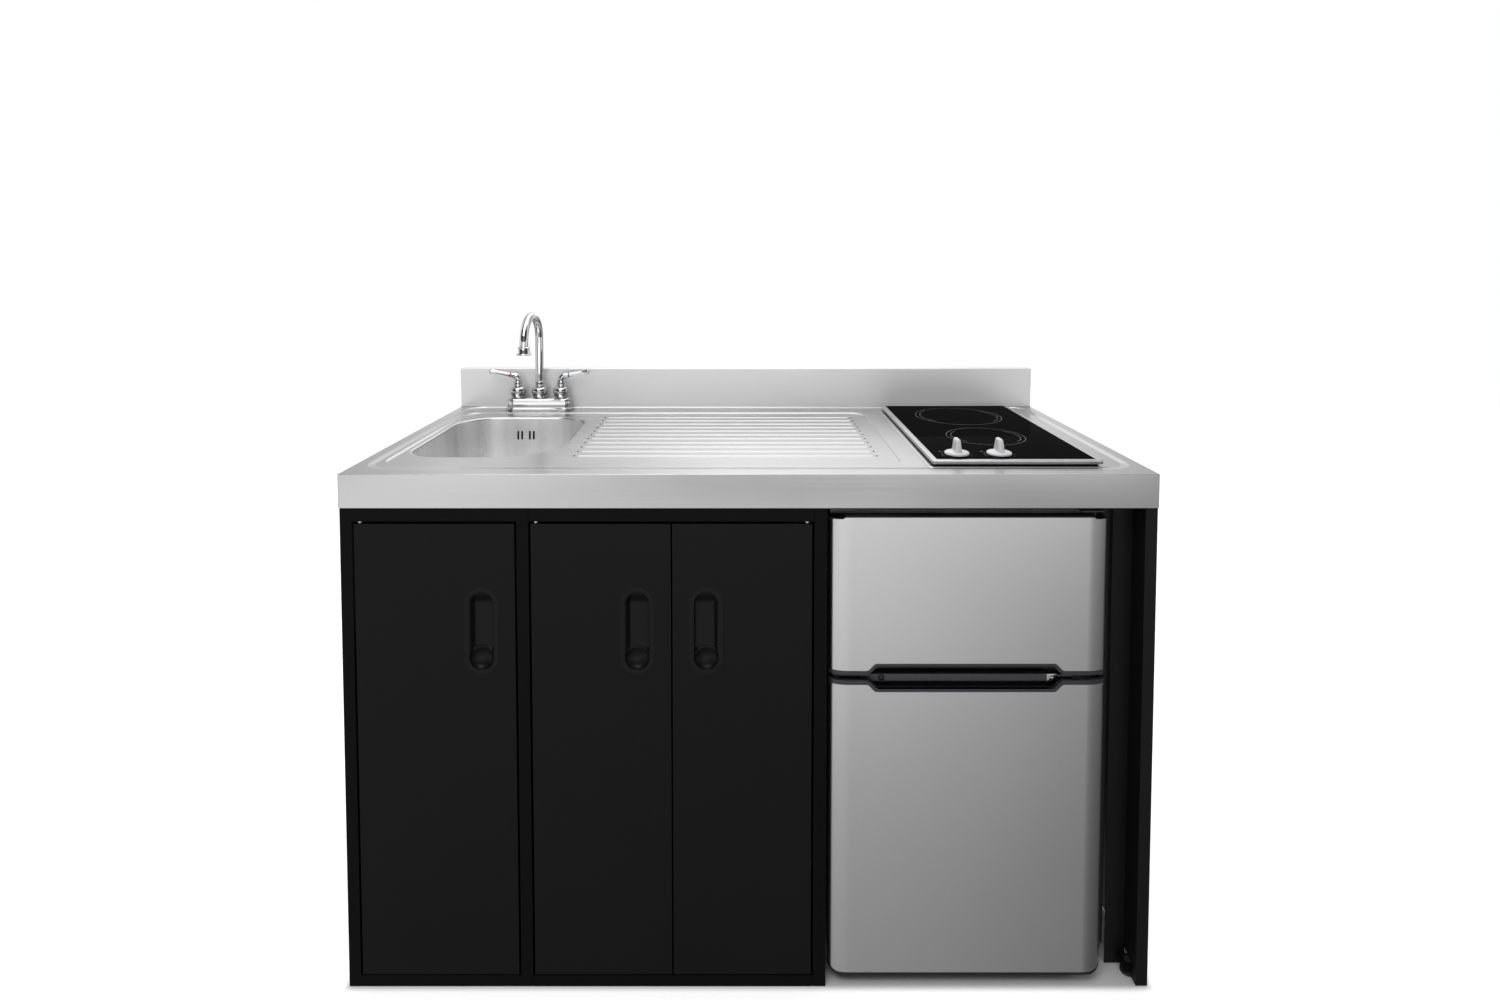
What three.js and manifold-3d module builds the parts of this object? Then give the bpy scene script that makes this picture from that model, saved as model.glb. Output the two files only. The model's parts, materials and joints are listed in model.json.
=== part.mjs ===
// A free-standing kitchenette: a pressed steel top with a sink, a draining board, a two-ring hob
// and a mixer tap, on a black sheet-steel cabinet with three doors and a bay for a small fridge.
// Millimetres. +X is to the right of someone facing the doors, +Y is towards the wall, +Z is up.
// The origin is on the floor, in the middle of the unit.

import * as THREE from 'three';
import { mergeVertices } from 'three/addons/utils/BufferGeometryUtils.js';
import Module from 'manifold-3d';

const wasm = await Module();
wasm.setup();

// ---------------------------------------------------------------- driving dimensions

// Whole unit
const UNIT_WIDTH = 1372;
const UNIT_DEPTH = 630;
const WORKTOP_HEIGHT = 890;
const SEAM = 0.3; // left between pieces that touch
const PIN_CLEARANCE = 0.3; // round a pin in its hole

// Sheet-steel cabinet
const SHEET = 1.2;
const CABINET_INSET = 1; // back from each end of the worktop
const CABINET_SETBACK = 2.5; // back from the worktop's apron
const CABINET_DEPTH = 590;
const LEFT_CABINET_WIDTH = 316;
const STILE_WIDTH = 20.5;
const RIGHT_POST_WIDTH = 22;
const RAIL_DEPTH = 25;
const TOP_RAIL_HEIGHT = 22.7;
const BOTTOM_RAIL_HEIGHT = 19.5;
const PANEL_FLANGE = 15;
const SHELF_HEIGHT = 400;
const SHELF_SETBACK = 90;
const SHELF_EDGE = 20;
const ACCESS_WIDTH = 210; // opening for the pipes in the back panel
const ACCESS_BOTTOM = 380;
const ACCESS_HEIGHT = 330;

// Right end panel and its levelling feet
const END_FLANGE = 20;
const END_RETURN = 45;
const END_STRIP = 34;
const END_REAR_FLANGE = 26;
const END_PANEL_LIFT = 1.5;
const FOOT_PAD_RADIUS = 13;
const FOOT_PAD_HEIGHT = 5;
const FOOT_STUD_RADIUS = 4;
const FOOT_STUD_TOP = 27;
const FOOT_NUT_RADIUS = 7;
const FOOT_NUT_HEIGHT = 5;
const FOOT_TAB_HEIGHT = 18;
const FOOT_TAB_WIDTH = 30;
const FOOT_SETBACK = 30;
const FOOT_NOTCH_HEIGHT = 32;

// Cabinet doors
const DOOR_THICKNESS = 18;
const DOOR_LIP = 14;
const DOOR_HINGE_GAP = 3.5;
const DOOR_FREE_GAP = 3.5;
const DOOR_MEETING_GAP = 2.5;
const DOOR_TOP_GAP = 4;
const DOOR_BOTTOM_GAP = 2;
const PIVOT_INSET = 8; // from the hinge edge
const PIVOT_SETBACK = 7; // behind the door's face
const PIVOT_RADIUS = 2.5;
const PIVOT_COLLAR_RADIUS = 4.5;
const PIVOT_REACH = 10; // into the door and into the rail
const PULL_WIDTH = 58;
const PULL_HEIGHT = 151;
const PULL_MOUTH_WIDTH = 40;
const PULL_MOUTH_HEIGHT = 132;
const PULL_WALL = 2;
const PULL_RIM = 1.2; // stands on the door's face
const PULL_TOP_DEPTH = 4.5;
const PULL_BOTTOM_DEPTH = 11;
const PULL_INSET = 57; // centre of the pull from the door's free edge
const PULL_CENTRE = 622;

// Pressed steel worktop
const TOP_SHEET = 1.5;
const APRON_HEIGHT = 58;
const APRON_RETURN = 32;
const SIDE_RETURN = 20;
const SIDE_RIM = 17;
const FRONT_RIM = 28;
const SIDE_SLOPE = 19;
const FRONT_SLOPE = 25;
const BACK_SLOPE = 2;
const WELL_DEPTH = 2.2;
const WELL_RADIUS = 45;
const TRAY_LEFT = 33; // tray edges, from the worktop's left end and front
const TRAY_FRONT = 75;
const TRAY_HOB_GAP = 45;
const TRAY_LEDGE = 61; // between the tray and the backsplash
const TRAY_DEPTH = 2.5;
const TRAY_SLOPE = 4;
const TRAY_FRONT_SLOPE = 9;
const TRAY_RADIUS = 35;
const RIB_COUNT = 11;
const RIB_WIDTH = 9;
const RIB_TOP_WIDTH = 4;
const RIB_RISE = 2.2;
const RIB_BOWL_GAP = 44; // from the bowl to the ends of the ribs
const RIB_TRAY_GAP = 42; // from the ends of the ribs to the tray's right edge
const RIB_FRONT_MARGIN = 66; // from the tray's front edge to the first rib
const RIB_BACK_MARGIN = 50; // from the last rib to the tray's back edge
const BACKSPLASH_HEIGHT = 92;
const BACKSPLASH_THICKNESS = 28;
const BACKSPLASH_RADIUS = 7;
const BACKSPLASH_LIP = 14;

// Sink
const BOWL_LEFT = 51; // from the worktop's left end
const BOWL_FRONT = 61; // from the tray's front edge
const BOWL_WIDTH = 276;
const BOWL_LENGTH = 361;
const BOWL_RADIUS = 70;
const BOWL_LOW_RADIUS = 42; // corner radius at the foot of the bowl's walls
const BOWL_DEPTH = 152;
const BOWL_TAPER = 9;
const BOWL_SHEET = 1.2;
const BOWL_FLANGE = 11;
const BOWL_FOOT_RADIUS = 26; // round the edge of the bowl's floor
const OVERFLOW_WIDTH = 4.5;
const OVERFLOW_HEIGHT = 20;
const OVERFLOW_DROP = 31;
const OVERFLOW_INNER = 8.75; // slot centres, each side of the middle
const OVERFLOW_OUTER = 17.75;
const OVERFLOW_SHIFT = -5; // middle of the slots from the middle of the bowl
const DRAIN_FLANGE_RADIUS = 56;
const DRAIN_CUP_RADIUS = 41;
const DRAIN_WALL = 1.5;
const DRAIN_CUP_DEPTH = 44;
const DRAIN_CONE = 6;
const DRAIN_TAIL_RADIUS = 19;
const DRAIN_TAIL_LENGTH = 30;
const STRAINER_RADIUS = 38;
const STRAINER_DEPTH = 31;
const STOPPER_RADIUS = 20;
const TRAP_RADIUS = 19;
const TRAP_NUT_RADIUS = 27;
const TRAP_NUT_HEIGHT = 22;
const TRAP_BEND = 40;
const TRAP_DROP = 68; // straight length above the U-bend
const TRAP_OUTLET_RISE = 55; // from the U-bend to the outlet pipe's middle
const TRAP_TAIL = 14; // outlet past the back of the cabinet

// Tap
const TAP_SHIFT = 7; // middle of the tap from the middle of the bowl
const TAP_BACKSPLASH_GAP = 25; // middle of the tap from the backsplash
const TAP_BASE_LENGTH = 159;
const TAP_BASE_WIDTH = 43;
const TAP_BASE_HEIGHT = 29;
const TAP_HUB_SPACING = 51;
const TAP_HUB_RADIUS = 18.8;
const TAP_HUB_TOP = 57;
const TAP_COLLAR_RADIUS = 9.5;
const TAP_COLLAR_TOP = 64;
const TAP_SHANK_RADIUS = 10;
const TAP_SHANK_LENGTH = 44;
const TAP_NUT_RADIUS = 17;
const TAP_NUT_HEIGHT = 8;
const SPOUT_RADIUS = 9.25;
const SPOUT_REACH = 136;
const SPOUT_TOP = 237;
const SPOUT_MOUTH = 147;
const SPOUT_NECK = 5; // straight end above the aerator
const AERATOR_HEIGHT = 19;
const AERATOR_RADIUS = 16.5;
const LEVER_REACH = 66;
const LEVER_RISE = 90;
const LEVER_RADIUS = 4.6;
const LEVER_TIP_RADIUS = 7;

// Hob
const HOB_WIDTH = 297;
const HOB_LENGTH = 520;
const HOB_RIGHT = 69; // from the worktop's right end
const HOB_FRONT = 54;
const HOB_SEAT_MARGIN = 7;
const HOB_SEAT_RISE = 1.2;
const HOB_SEAT_SLOPE = 2;
const HOB_FLANGE_INSET = 6;
const HOB_FLANGE_HEIGHT = 5.1;
const HOB_FRAME_WIDTH = 9.5;
const HOB_FRAME_HEIGHT = 4.7;
const HOB_FRAME_RADIUS = 5;
const HOB_FRAME_BEVEL = 1.5;
const HOB_GLASS_THICKNESS = 4.2;
const HOB_BOX_INSET = 20;
const HOB_BOX_DEPTH = 52;
const HOB_CUTOUT_CLEARANCE = 2.5;
const HEATER_DEPTH = 26;
const HEATER_STEM_RADIUS = 18;
const FRONT_HEATER_RADIUS = 73;
const REAR_HEATER_RADIUS = 90;
const FRONT_HEATER_Y = 190; // from the hob's front edge
const REAR_HEATER_Y = 389;
const HOB_KNOB_Y = 43;
const LEFT_HOB_KNOB_X = 53; // from the hob's left edge
const HOB_KNOB_SPACING = 75.5;
const HOB_KNOB_RADIUS = 22;
const HOB_KNOB_SKIRT = 6;
const HOB_KNOB_HEIGHT = 28;
const HOB_KNOB_GAP = 1.3;
const HOB_KNOB_FIN = 11;
const SWITCH_SIZE = 34;
const SWITCH_HEIGHT = 38;
const SWITCH_SHAFT_RADIUS = 3;
const SWITCH_SHAFT_LENGTH = 27;

// Fridge with a freezer compartment above
const FRIDGE_WIDTH = 472;
const FRIDGE_SIDE_GAP = 3.7; // to the cabinet on its left
const FRIDGE_END_GAP = 23; // to the strip of the end panel on its right
const FRIDGE_SETBACK = 5;
const FRIDGE_DEPTH = 505;
const FRIDGE_BASE = 16;
const FRIDGE_TOP = 820;
const FRIDGE_DOOR_DEPTH = 38;
const FRIDGE_DOOR_RADIUS = 11;
const FRIDGE_DOOR_BOTTOM = 18;
const FRIDGE_DOOR_TOP = 816;
const FRIDGE_SPLIT = 540; // middle of the gap between the doors
const FRIDGE_SPLIT_GAP = 9;
const FRIDGE_FOOT_CORNER = 22; // rounding of the lower door's bottom corners
const HANDLE_BAND = 7.5;
const HANDLE_RISE = 12.5;
const HANDLE_LEFT = 64;
const HANDLE_WIDTH = 335;
const HANDLE_SLANT = 16;
const HANDLE_DEPTH = 25;
const SCOOP_DEPTH = 17;
const SCOOP_MARGIN = 4;
const LINER_SHEET = 2;
const GASKET_DEPTH = 7.4;
const GASKET_WIDTH = 14;
const GASKET_MARGIN = 5;
const CAVITY_WALL = 40;
const FREEZER_FLOOR = 568;
const FREEZER_CEILING = 780;
const FREEZER_CAVITY_DEPTH = 380;
const CHILLER_FLOOR = 80;
const CHILLER_CEILING = 512;
const CHILLER_CAVITY_DEPTH = 400;
const HUMP_HEIGHT = 250; // top of the step over the compressor
const HUMP_CAVITY_DEPTH = 290;
const MACHINE_DEPTH = 115; // compressor space at the back
const MACHINE_HEIGHT = 185;
const MACHINE_WALL = 18;
const COMPRESSOR_LENGTH = 140;
const COMPRESSOR_WIDTH = 100;
const COMPRESSOR_HEIGHT = 140;
const COMPRESSOR_RIGHT = 189; // its middle from the right side
const DIKE_GAP = 12; // from the walls of the cavity to the door's inner moulding
const DIKE_WALL = 6;
const CHILLER_DIKE_DEPTH = 58;
const FREEZER_DIKE_DEPTH = 32;
const BIN_FLOOR = 4;
const BIN_GUARD = 38;
const CHILLER_BINS = [0, 165, 300]; // above the foot of the moulding
const SHELF_LEDGE = 6;
const GLASS_SHELF_HEIGHT = 330;
const GLASS_SHELF_THICKNESS = 4;
const CONTENTS_SETBACK = 108; // shelf and crisper behind the door's face
const CRISPER_HEIGHT = 135;
const CRISPER_WALL = 2.5;
const CRISPER_SIDE_GAP = 8;
const FRIDGE_PIVOT_INSET = 18;
const FRIDGE_PIVOT_SETBACK = 22;
const FRIDGE_PIN_RADIUS = 3;
const FRIDGE_PIN_REACH = 7;
const FRIDGE_CORNER_PIN_REACH = 10;
const HINGE_PLATE = 2;
const HINGE_WIDTH = 42;
const HINGE_FRONT = 13;
const HINGE_REACH = 90;
const CENTRE_HINGE_TAB = 26;
const FRIDGE_FOOT_RADIUS = 15;
const FRIDGE_FOOT_PAD = 8;
const FRIDGE_FOOT_INSET = 50;
const FRIDGE_FOOT_Y = 80;
const FRIDGE_SUPPORT_SIZE = 30; // fixed supports at the back
const FRIDGE_SUPPORT_BACK = 30;
const THERMOSTAT_RADIUS = 16;
const THERMOSTAT_THICKNESS = 12;
const THERMOSTAT_Y = 170;
const THERMOSTAT_HEIGHT = 470;

// ---------------------------------------------------------------- places worked out from them

const left = -UNIT_WIDTH / 2;
const right = UNIT_WIDTH / 2;
const front = -UNIT_DEPTH / 2;
const back = UNIT_DEPTH / 2;

const cabinetLeft = left + CABINET_INSET;
const cabinetRight = right - CABINET_INSET;
const cabinetFront = front + CABINET_SETBACK;
const cabinetBack = cabinetFront + CABINET_DEPTH;
const apronBottom = WORKTOP_HEIGHT - APRON_HEIGHT;
const cabinetTop = apronBottom - SEAM;
const railBack = cabinetFront + RAIL_DEPTH;
const leftCabinetRight = cabinetLeft + LEFT_CABINET_WIDTH;
const stripLeft = cabinetRight - END_FLANGE - END_STRIP;
const fridgeLeft = stripLeft - FRIDGE_END_GAP - FRIDGE_WIDTH;
const middleCabinetRight = fridgeLeft - FRIDGE_SIDE_GAP;
const postLeft = middleCabinetRight - RIGHT_POST_WIDTH;
const topRailBottom = cabinetTop - TOP_RAIL_HEIGHT;
const doorBottom = BOTTOM_RAIL_HEIGHT + DOOR_BOTTOM_GAP;
const doorTop = topRailBottom - DOOR_TOP_GAP;
const panelFront = railBack + SEAM;
const backPanelBack = cabinetBack - SHEET - SEAM;
const backPanelFront = backPanelBack - SHEET;

const wellLevel = WORKTOP_HEIGHT - WELL_DEPTH;
const trayLevel = wellLevel - TRAY_DEPTH;
const backsplashFront = back - BACKSPLASH_THICKNESS;
const hobX = right - HOB_RIGHT - HOB_WIDTH / 2;
const hobY = front + HOB_FRONT;
const trayFront = front + TRAY_FRONT;
const trayBack = backsplashFront - TRAY_LEDGE;
const trayRight = hobX - HOB_WIDTH / 2 - TRAY_HOB_GAP;
const bowlX = left + BOWL_LEFT + BOWL_WIDTH / 2;
const bowlY = trayFront + BOWL_FRONT + BOWL_LENGTH / 2;
const tapX = bowlX + TAP_SHIFT;
const tapY = backsplashFront - TAP_BACKSPLASH_GAP;
const bowlTop = trayLevel - TOP_SHEET - SEAM;
const bowlFloor = trayLevel - BOWL_DEPTH;
const hobSeatLevel = wellLevel + HOB_SEAT_RISE;

// ---------------------------------------------------------------- finishes

const finishes = {
  blackSteel: { color: 0x1b1b1c, roughness: 0.55, metalness: 0.2 },
  blackPlastic: { color: 0x111112, roughness: 0.5, metalness: 0 },
  blackRubber: { color: 0x0c0c0c, roughness: 0.8, metalness: 0 },
  brushedSteel: { color: 0xb9bbbd, roughness: 0.35, metalness: 1 },
  satinSteel: { color: 0xc6c8c9, roughness: 0.28, metalness: 1 },
  doorSteel: { color: 0xa9abad, roughness: 0.38, metalness: 0.9 },
  chrome: { color: 0xe4e6e8, roughness: 0.06, metalness: 1 },
  zincSteel: { color: 0xb4b7b9, roughness: 0.35, metalness: 1 },
  blackGlass: { color: 0x08080a, roughness: 0.05, metalness: 0 },
  clearGlass: { color: 0xd6e6e2, roughness: 0.05, metalness: 0 },
  whitePlastic: { color: 0xe9eaeb, roughness: 0.35, metalness: 0 },
  greyPlastic: { color: 0x8d9092, roughness: 0.5, metalness: 0 },
  paleRubber: { color: 0xc9cbcc, roughness: 0.7, metalness: 0 },
  ceramicWool: { color: 0xd8d2c4, roughness: 0.95, metalness: 0 },
};

// ---------------------------------------------------------------- shapes

const point = (x, y) => new THREE.Vector2(x, y);

function block(x0, x1, y0, y1, z0, z1) {
  const geometry = new THREE.BoxGeometry(x1 - x0, y1 - y0, z1 - z0);
  return geometry.translate((x0 + x1) / 2, (y0 + y1) / 2, (z0 + z1) / 2);
}

// An outline drawn in the plane across an axis, carried from one place to another along it:
// an outline across x is drawn in (y, z), across y in (x, z) and across z in (x, y).
function prism(outline, axis, from, to) {
  const shape = new THREE.Shape(outline);
  const geometry = new THREE.ExtrudeGeometry(shape, { depth: to - from, bevelEnabled: false });
  const along = { x: [0, 1, 0, 0, 0, 1, 1, 0, 0], y: [1, 0, 0, 0, 0, 1, 0, -1, 0] }[axis];
  if (axis === 'z') return geometry.translate(0, 0, from);
  geometry.translate(0, 0, axis === 'x' ? from : -to);
  const [ux, uy, uz, vx, vy, vz, wx, wy, wz] = along;
  const turn = new THREE.Matrix4().set(ux, vx, wx, 0, uy, vy, wy, 0, uz, vz, wz, 0, 0, 0, 0, 1);
  return geometry.applyMatrix4(turn);
}

// A rectangle with round corners, as a ring of points that starts on its right side.
function roundedRectangle(x0, x1, y0, y1, radius, steps = 5) {
  const r = Math.min(radius, (x1 - x0) / 2 - 0.01, (y1 - y0) / 2 - 0.01);
  const corners = [[x1 - r, y0 + r, -90], [x1 - r, y1 - r, 0], [x0 + r, y1 - r, 90], [x0 + r, y0 + r, 180]];
  return corners.flatMap(([cx, cy, start]) => {
    const turns = Array.from({ length: steps + 1 }, (_, i) => THREE.MathUtils.degToRad(start + (90 * i) / steps));
    return turns.map((turn) => point(cx + r * Math.cos(turn), cy + r * Math.sin(turn)));
  });
}

const centredRectangle = (width, length, radius, steps) =>
  roundedRectangle(-width / 2, width / 2, -length / 2, length / 2, radius, steps);

// A bent sheet seen end on: the line is its outer face, and the sheet lies to the left of it.
function foldedSheet(line, thickness) {
  const corners = line.map(([x, y]) => point(x, y));
  const sides = corners.slice(1).map((end, i) => {
    const along = end.clone().sub(corners[i]).normalize();
    return point(-along.y, along.x);
  });
  const inner = corners.map((corner, i) => {
    const before = sides[Math.max(i - 1, 0)];
    const after = sides[Math.min(i, sides.length - 1)];
    const push = before.clone().add(after).divideScalar(1 + before.dot(after));
    return corner.clone().addScaledVector(push, thickness);
  });
  return [...corners, ...inner.reverse()];
}

// A solid through rings of points at rising heights, each ring with as many points as the others.
function loft(rings) {
  const count = rings[0].outline.length;
  const positions = rings.flatMap(({ outline, z }) => outline.flatMap(({ x, y }) => [x, y, z]));
  const index = [];
  for (let ring = 0; ring < rings.length - 1; ring++) {
    for (let i = 0; i < count; i++) {
      const a = ring * count + i;
      const b = ring * count + ((i + 1) % count);
      index.push(a, b, b + count, a, b + count, a + count);
    }
  }
  const lid = THREE.ShapeUtils.triangulateShape(rings[0].outline, []);
  const top = (rings.length - 1) * count;
  for (const [a, b, c] of lid) index.push(c, b, a, top + a, top + b, top + c);
  const geometry = new THREE.BufferGeometry();
  geometry.setAttribute('position', new THREE.Float32BufferAttribute(positions, 3));
  geometry.setIndex(index);
  return geometry;
}

// A profile of [radius, height] pairs turned about an upright axis.
function turned(profile, x = 0, y = 0, segments = 32) {
  const geometry = new THREE.LatheGeometry(profile.map(([r, z]) => point(r, z)), segments);
  return geometry.rotateX(Math.PI / 2).translate(x, y, 0);
}

const rod = (radius, z0, z1, x = 0, y = 0, segments = 20) =>
  turned([[0, z0], [radius, z0], [radius, z1], [0, z1]], x, y, segments);

// A bar with a round section that follows a path.
function swept(path, radius, sides, steps) {
  const section = new THREE.Shape(
    Array.from({ length: sides }, (_, i) => {
      const turn = (2 * Math.PI * i) / sides;
      return point(radius * Math.cos(turn), radius * Math.sin(turn));
    }),
  );
  return new THREE.ExtrudeGeometry(section, { steps, bevelEnabled: false, extrudePath: path });
}

// A path of straight lines in the upright plane x = 0, with round bends at its corners.
function bentPath(corners, radius, stepsPerBend = 6) {
  const points = corners.map(([y, z]) => new THREE.Vector3(0, y, z));
  const path = new THREE.CurvePath();
  let start = points[0];
  for (let i = 1; i < points.length - 1; i++) {
    const before = points[i - 1].clone().sub(points[i]).normalize();
    const after = points[i + 1].clone().sub(points[i]).normalize();
    const reach = radius / Math.tan(before.angleTo(after) / 2);
    const entry = points[i].clone().addScaledVector(before, reach);
    const exit = points[i].clone().addScaledVector(after, reach);
    if (start.distanceTo(entry) > SEAM) path.add(new THREE.LineCurve3(start, entry));
    path.add(new THREE.QuadraticBezierCurve3(entry, points[i], exit));
    start = exit;
  }
  path.add(new THREE.LineCurve3(start, points.at(-1)));
  return path;
}

// ---------------------------------------------------------------- joining and cutting

function solid(shape) {
  if (!shape.isBufferGeometry) return shape;
  const bare = shape.clone();
  bare.deleteAttribute('normal');
  bare.deleteAttribute('uv');
  const welded = mergeVertices(bare);
  const corners = welded.index.array;
  const kept = [];
  for (let i = 0; i < corners.length; i += 3) {
    const [a, b, c] = corners.slice(i, i + 3);
    if (a !== b && b !== c && c !== a) kept.push(a, b, c);
  }
  const build = (triangles) => new wasm.Manifold(new wasm.Mesh({
    numProp: 3,
    vertProperties: welded.attributes.position.array,
    triVerts: Uint32Array.from(triangles),
  }));
  const made = build(kept);
  if (made.volume() > 0) return made;
  return build(kept.reverse());
}

const join = (...shapes) => shapes.map(solid).reduce((whole, shape) => whole.add(shape));
const cut = (shape, ...tools) => tools.map(solid).reduce((whole, tool) => whole.subtract(tool), solid(shape));
const common = (a, b) => solid(a).intersect(solid(b));

function piece(name, shape, finish) {
  const { vertProperties, triVerts } = solid(shape).getMesh();
  const indexed = new THREE.BufferGeometry();
  indexed.setAttribute('position', new THREE.BufferAttribute(vertProperties, 3));
  indexed.setIndex(new THREE.BufferAttribute(triVerts, 1));
  const geometry = indexed.toNonIndexed();
  geometry.computeVertexNormals();
  const mesh = new THREE.Mesh(geometry, new THREE.MeshStandardMaterial(finishes[finish]));
  mesh.name = name;
  return mesh;
}

function assembly(x, y, z, ...members) {
  const group = new THREE.Group();
  group.position.set(x, y, z);
  group.add(...members);
  return group;
}

// ---------------------------------------------------------------- cabinet

const pivotHole = (x, y, z0, z1) => rod(PIVOT_RADIUS + PIN_CLEARANCE, z0, z1, x, y, 16);
const pivotY = cabinetFront + PIVOT_SETBACK;
const doorSpans = {
  left: [cabinetLeft + STILE_WIDTH + DOOR_HINGE_GAP, leftCabinetRight - STILE_WIDTH - DOOR_FREE_GAP],
  pair: [leftCabinetRight + DOOR_HINGE_GAP, postLeft - DOOR_HINGE_GAP],
};
const pivots = {
  left: doorSpans.left[0] + PIVOT_INSET,
  middleLeft: doorSpans.pair[0] + PIVOT_INSET,
  middleRight: doorSpans.pair[1] - PIVOT_INSET,
};

function leftFaceFrame() {
  const inX = [cabinetLeft + STILE_WIDTH, leftCabinetRight - STILE_WIDTH];
  const inZ = [BOTTOM_RAIL_HEIGHT, topRailBottom];
  const bar = cut(
    block(cabinetLeft, leftCabinetRight, cabinetFront, railBack, 0, cabinetTop),
    block(...inX, cabinetFront - 1, railBack + 1, ...inZ),
  );
  const behind = cabinetFront + SHEET;
  const channel = cut(
    block(cabinetLeft + SHEET, leftCabinetRight - SHEET, behind, railBack + 1, SHEET, cabinetTop - SHEET),
    block(inX[0] - SHEET, inX[1] + SHEET, behind, railBack + 1, inZ[0] - SHEET, inZ[1] + SHEET),
  );
  return cut(
    bar,
    channel,
    pivotHole(pivots.left, pivotY, inZ[0] - SHEET - 1, inZ[0] + 1),
    pivotHole(pivots.left, pivotY, inZ[1] - 1, inZ[1] + SHEET + 1),
  );
}

// A channel along x, open at the back, with a pivot hole near each end.
function middleRail(z0, z1, holeSide) {
  const line = [[railBack, z0], [cabinetFront, z0], [cabinetFront, z1], [railBack, z1]];
  const outline = foldedSheet(line.reverse(), SHEET);
  const rail = prism(outline, 'x', leftCabinetRight + SEAM, postLeft - SEAM);
  const holes = [pivots.middleLeft, pivots.middleRight].map((x) =>
    pivotHole(x, pivotY, holeSide - SHEET - 1, holeSide + SHEET + 1));
  return cut(rail, ...holes);
}

function rightPost() {
  const line = [[postLeft, railBack], [postLeft, cabinetFront],
    [middleCabinetRight, cabinetFront], [middleCabinetRight, railBack]];
  return prism(foldedSheet(line, SHEET), 'z', 0, cabinetTop);
}

// A side of the cabinet: a flat web with a flange at the front and the back.
// The flanges point to the right for a direction of 1, and to the left for -1.
function sidePanel(x, direction, z0) {
  const flange = x + direction * PANEL_FLANGE;
  const line = [[flange, panelFront], [x, panelFront], [x, cabinetBack], [flange, cabinetBack]];
  return prism(foldedSheet(direction > 0 ? line.reverse() : line, SHEET), 'z', z0, cabinetTop);
}

function partitionPanel() {
  const flange = leftCabinetRight - PANEL_FLANGE;
  const line = [[flange, panelFront], [leftCabinetRight, panelFront],
    [leftCabinetRight, backPanelFront - SEAM], [flange, backPanelFront - SEAM]];
  const panel = prism(foldedSheet(line, SHEET), 'z', BOTTOM_RAIL_HEIGHT + SEAM, cabinetTop);
  const clear = 4;
  const notch = block(
    leftCabinetRight - BOWL_WIDTH / 4, leftCabinetRight + 1,
    bowlY - BOWL_LENGTH / 2 - clear, bowlY + BOWL_LENGTH / 2 + clear,
    bowlFloor - BOWL_SHEET - clear, cabinetTop + 1,
  );
  return cut(panel, notch);
}

const innerLeft = cabinetLeft + SHEET + SEAM;
const innerRight = middleCabinetRight - SHEET - SEAM;

function cabinetFloor() {
  const y0 = panelFront + SHEET + SEAM;
  const y1 = backPanelFront - SEAM;
  const line = [[y1, 0], [y1, BOTTOM_RAIL_HEIGHT], [y0, BOTTOM_RAIL_HEIGHT], [y0, 0]];
  return prism(foldedSheet(line, SHEET), 'x', innerLeft, innerRight);
}

function cabinetBackPanel() {
  const panel = block(innerLeft, innerRight, backPanelFront, backPanelBack,
    BOTTOM_RAIL_HEIGHT + SEAM, cabinetTop);
  const access = prism(
    roundedRectangle(bowlX - ACCESS_WIDTH / 2, bowlX + ACCESS_WIDTH / 2,
      ACCESS_BOTTOM, ACCESS_BOTTOM + ACCESS_HEIGHT, PANEL_FLANGE),
    'y', backPanelFront - 1, backPanelBack + 1,
  );
  return cut(panel, access);
}

function middleShelf() {
  const y0 = cabinetFront + SHELF_SETBACK;
  const y1 = backPanelFront - SEAM;
  const foot = SHELF_HEIGHT - SHELF_EDGE;
  const line = [[y1, foot], [y1, SHELF_HEIGHT], [y0, SHELF_HEIGHT], [y0, foot]];
  return prism(foldedSheet(line, SHEET), 'x', leftCabinetRight + SEAM, innerRight);
}

// ---------------------------------------------------------------- right end panel

const endReturnX = cabinetRight - END_FLANGE;
const footX = endReturnX + SHEET / 2;
const frontFootY = cabinetFront + FOOT_SETBACK;
const rearFootY = cabinetBack - FOOT_SETBACK;

function rightEndPanel() {
  const stripY = cabinetFront + END_RETURN;
  const line = [[stripLeft, stripY], [endReturnX, stripY], [endReturnX, cabinetFront],
    [cabinetRight, cabinetFront], [cabinetRight, cabinetBack], [cabinetRight - END_REAR_FLANGE, cabinetBack]];
  const panel = prism(foldedSheet(line, SHEET), 'z', END_PANEL_LIFT, cabinetTop);
  const notch = block(endReturnX - FOOT_PAD_RADIUS, endReturnX + SHEET + 1,
    frontFootY - FOOT_PAD_RADIUS - 1, stripY, 0, FOOT_NOTCH_HEIGHT);
  const tab = (y) => block(footX - FOOT_TAB_WIDTH / 2, cabinetRight - SHEET / 2,
    y - FOOT_TAB_WIDTH / 2, y + FOOT_TAB_WIDTH / 2, FOOT_TAB_HEIGHT, FOOT_TAB_HEIGHT + SHEET);
  const hole = (y) => rod(FOOT_STUD_RADIUS + PIN_CLEARANCE, FOOT_TAB_HEIGHT - 1, FOOT_TAB_HEIGHT + SHEET + 1,
    footX, y, 16);
  return cut(join(cut(panel, notch), tab(frontFootY), tab(rearFootY)), hole(frontFootY), hole(rearFootY));
}

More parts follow.
